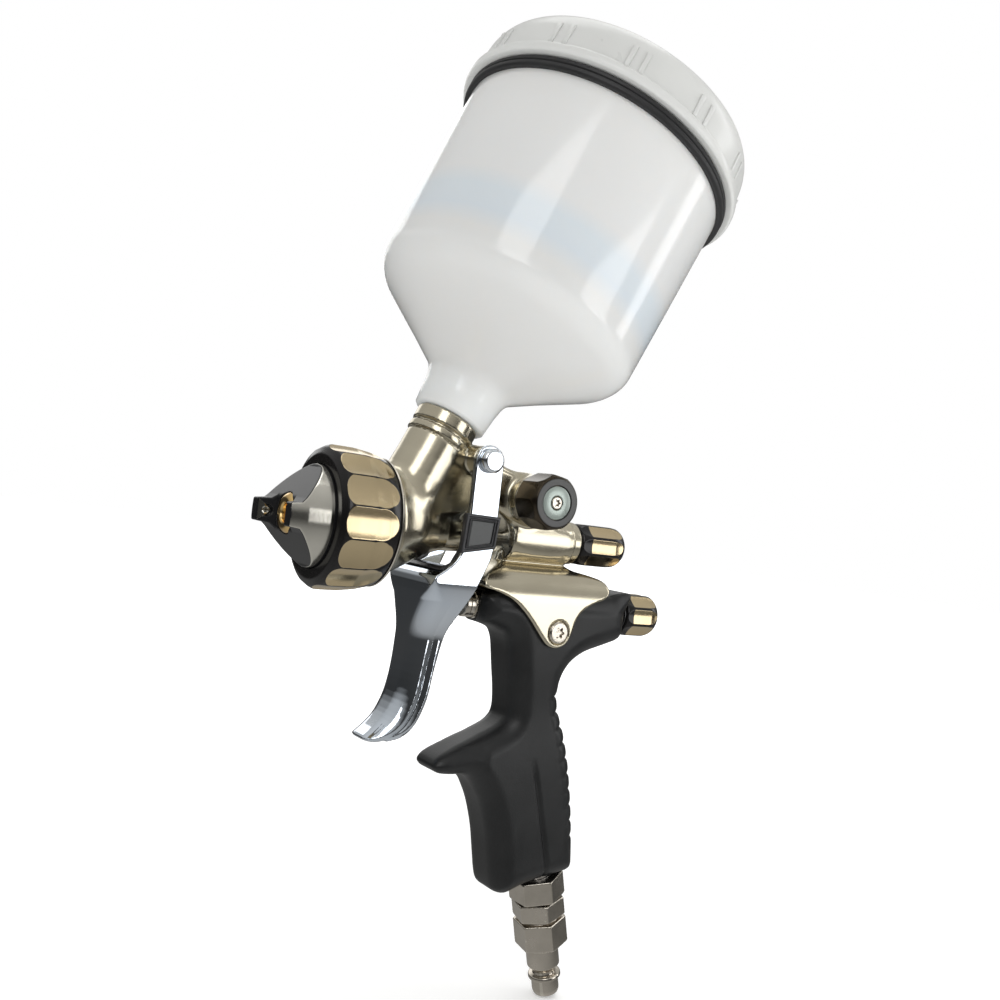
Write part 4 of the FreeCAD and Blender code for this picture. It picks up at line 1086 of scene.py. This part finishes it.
nutPiece("inletFlangeNut", fitting["flangeAcross"], 123.0, 131.2, 0, "inlet_flange_nut")
nutPiece("inletLockNut", fitting["across"], 131.9, 138.2, 14, "inlet_lock_nut")
hexPiece("plugHex", plugField, 144.2, (12.5, 10, 12), "air_inlet_plug")
turnedPiece("plugNose", "grip",
            [(3.2, 149.4), (6.6, 149.4), (6.6, 150.0, 0.2), (5.9, 150.6), (5.9, 157.2, 0.4),
             (4.3, 158.6, 0.3), (4.1, 159.5), (4.3, 160.2), (5.7, 160.5, 0.3), (5.9, 161.0),
             (5.9, 161.8, 0.2), (4.9, 162.4), (4.9, 166.6, 0.6), (4.4, 168.0, 0.4),
             (3.6, 168.0), (3.2, 167.6)],
            fittingNickel, "gun", closed=True, around=96)
turnedPiece("airPassageTube", "grip", [(3.2, 90), (5.4, 90), (5.4, 131.9), (3.2, 131.9)],
            steelFinish, "gun", "air_passage_tube", 64, closed=True)
turnedPiece("inletSeal", "grip", [(3.2, 131.95), (5.4, 131.95), (5.4, 132.6), (3.2, 132.6)],
            rubberBlack, "gun", "inlet_seal", 64, closed=True)
print("fittings done")


floorMesh = bpy.data.meshes.new("floor")
lowest = cadBox[0][2] - 0.0003
floorMesh.from_pydata([(-4, -4, lowest), (4, -4, lowest), (4, 4, lowest), (-4, 4, lowest)], [],
                      [(0, 1, 2, 3)])
floor = bpy.data.objects.new("floor", floorMesh)
floor.visible_glossy = False
bpy.context.collection.objects.link(floor)
pale = makeFinish("paleFloor", (0.92, 0.92, 0.92), (0.90, 0.90, 0.90), 0.0, 0.95, 0.02, patch=4,
                  grain=60, Specular_IOR_Level=0.0, Emission_Color=(1.0, 1.0, 1.0, 1.0),
                  Emission_Strength=0.35)
floorMesh.materials.append(pale)
paleNodes, paleLinks = pale.node_tree.nodes, pale.node_tree.links
# the floor glows more the further out it is, so that it fades into the white behind the gun
fromCentre = paleNodes.new("ShaderNodeTexCoord")
howFar = paleNodes.new("ShaderNodeVectorMath")
howFar.operation = "LENGTH"
paleLinks.new(fromCentre.outputs["Object"], howFar.inputs[0])
glow = spread(paleNodes, paleLinks, howFar.outputs["Value"], 0.3, 1.0, 0.2, 1.6)
paleLinks.new(glow, paleNodes["Principled BSDF"].inputs["Emission Strength"])


def softLight(name, place, size, power):
    # Each lamp faces the middle of the gun.
    lamp = bpy.data.lights.new(name, "AREA")
    lamp.shape = "RECTANGLE"
    lamp.size, lamp.size_y = size
    lamp.energy = power
    light = bpy.data.objects.new(name, lamp)
    light.location = place
    light.rotation_euler = (Vector((0, 0, 0.17)) - Vector(place)).to_track_quat("-Z", "Y").to_euler()
    bpy.context.collection.objects.link(light)


softLight("keyLight", (-0.9, -1.1, 1.0), (0.7, 1.0), 5)
softLight("sideLight", (1.3, -0.5, 0.6), (0.3, 1.2), 3)
softLight("topLight", (0.1, 0.2, 1.4), (1.0, 0.8), 4)
softLight("backLight", (0.3, 1.4, 0.7), (1.4, 0.6), 3)
softLight("cheekPanel", (0.8, -1.25, 0.22), (0.7, 0.7), 4)


def studioWorld():
    # Dim at eye level, paler above and below, and white where the camera looks at it.
    world = bpy.data.worlds.new("studio")
    world.use_nodes = True
    bpy.context.scene.world = world
    nodes, links = world.node_tree.nodes, world.node_tree.links
    back = nodes["Background"]
    place = nodes.new("ShaderNodeTexCoord")
    parts = nodes.new("ShaderNodeSeparateXYZ")
    links.new(place.outputs["Generated"], parts.inputs["Vector"])
    greys = [(0.0, 0.5), (0.28, 0.34), (0.43, 0.05), (0.54, 0.035), (0.66, 0.45), (1.0, 0.7)]
    height = addRamp(nodes, [(spot, (grey, grey, grey * 0.98)) for spot, grey in greys])
    links.new(spread(nodes, links, parts.outputs["Z"], 0, 1, -1, 1), height.inputs["Fac"])
    ray = nodes.new("ShaderNodeLightPath")
    mixed = blendColour(nodes, links, ray.outputs["Is Camera Ray"], height.outputs["Color"],
                        (1.0, 1.0, 1.0))
    links.new(mixed, back.inputs["Color"])
    back.inputs["Strength"].default_value = 1.0


studioWorld()

# Angles in degrees, millimetres from the aim, and the lens as so many sensor widths.
view = {"turn": -33.27, "rise": -0.47, "roll": 7.08, "away": 389.16, "aim": (31.77, 0.0, 12.24),
        "lens": 1.1333}
turn, rise, roll = [math.radians(view[key]) for key in ("turn", "rise", "roll")]
back = Vector((math.sin(turn) * math.cos(rise), -math.cos(turn) * math.cos(rise), math.sin(rise)))
right = Vector((math.cos(turn), math.sin(turn), 0))
up = back.cross(right)
rolledRight = right * math.cos(roll) + up * math.sin(roll)
rolledUp = up * math.cos(roll) - right * math.sin(roll)
lens = bpy.data.cameras.new("camera")
lens.sensor_width = 36.0
lens.lens = view["lens"] * lens.sensor_width
lens.clip_start = 0.01
camera = bpy.data.objects.new("camera", lens)
bpy.context.collection.objects.link(camera)
aim = (Vector(view["aim"]) + Vector(datum)) * 0.001
spot = aim + back * view["away"] * 0.001
camera.matrix_world = Matrix((
    (rolledRight.x, rolledUp.x, back.x, spot.x), (rolledRight.y, rolledUp.y, back.y, spot.y),
    (rolledRight.z, rolledUp.z, back.z, spot.z), (0, 0, 0, 1)))
bpy.context.scene.camera = camera

bpy.context.scene.view_settings.view_transform = "Standard"

print("scene ready")
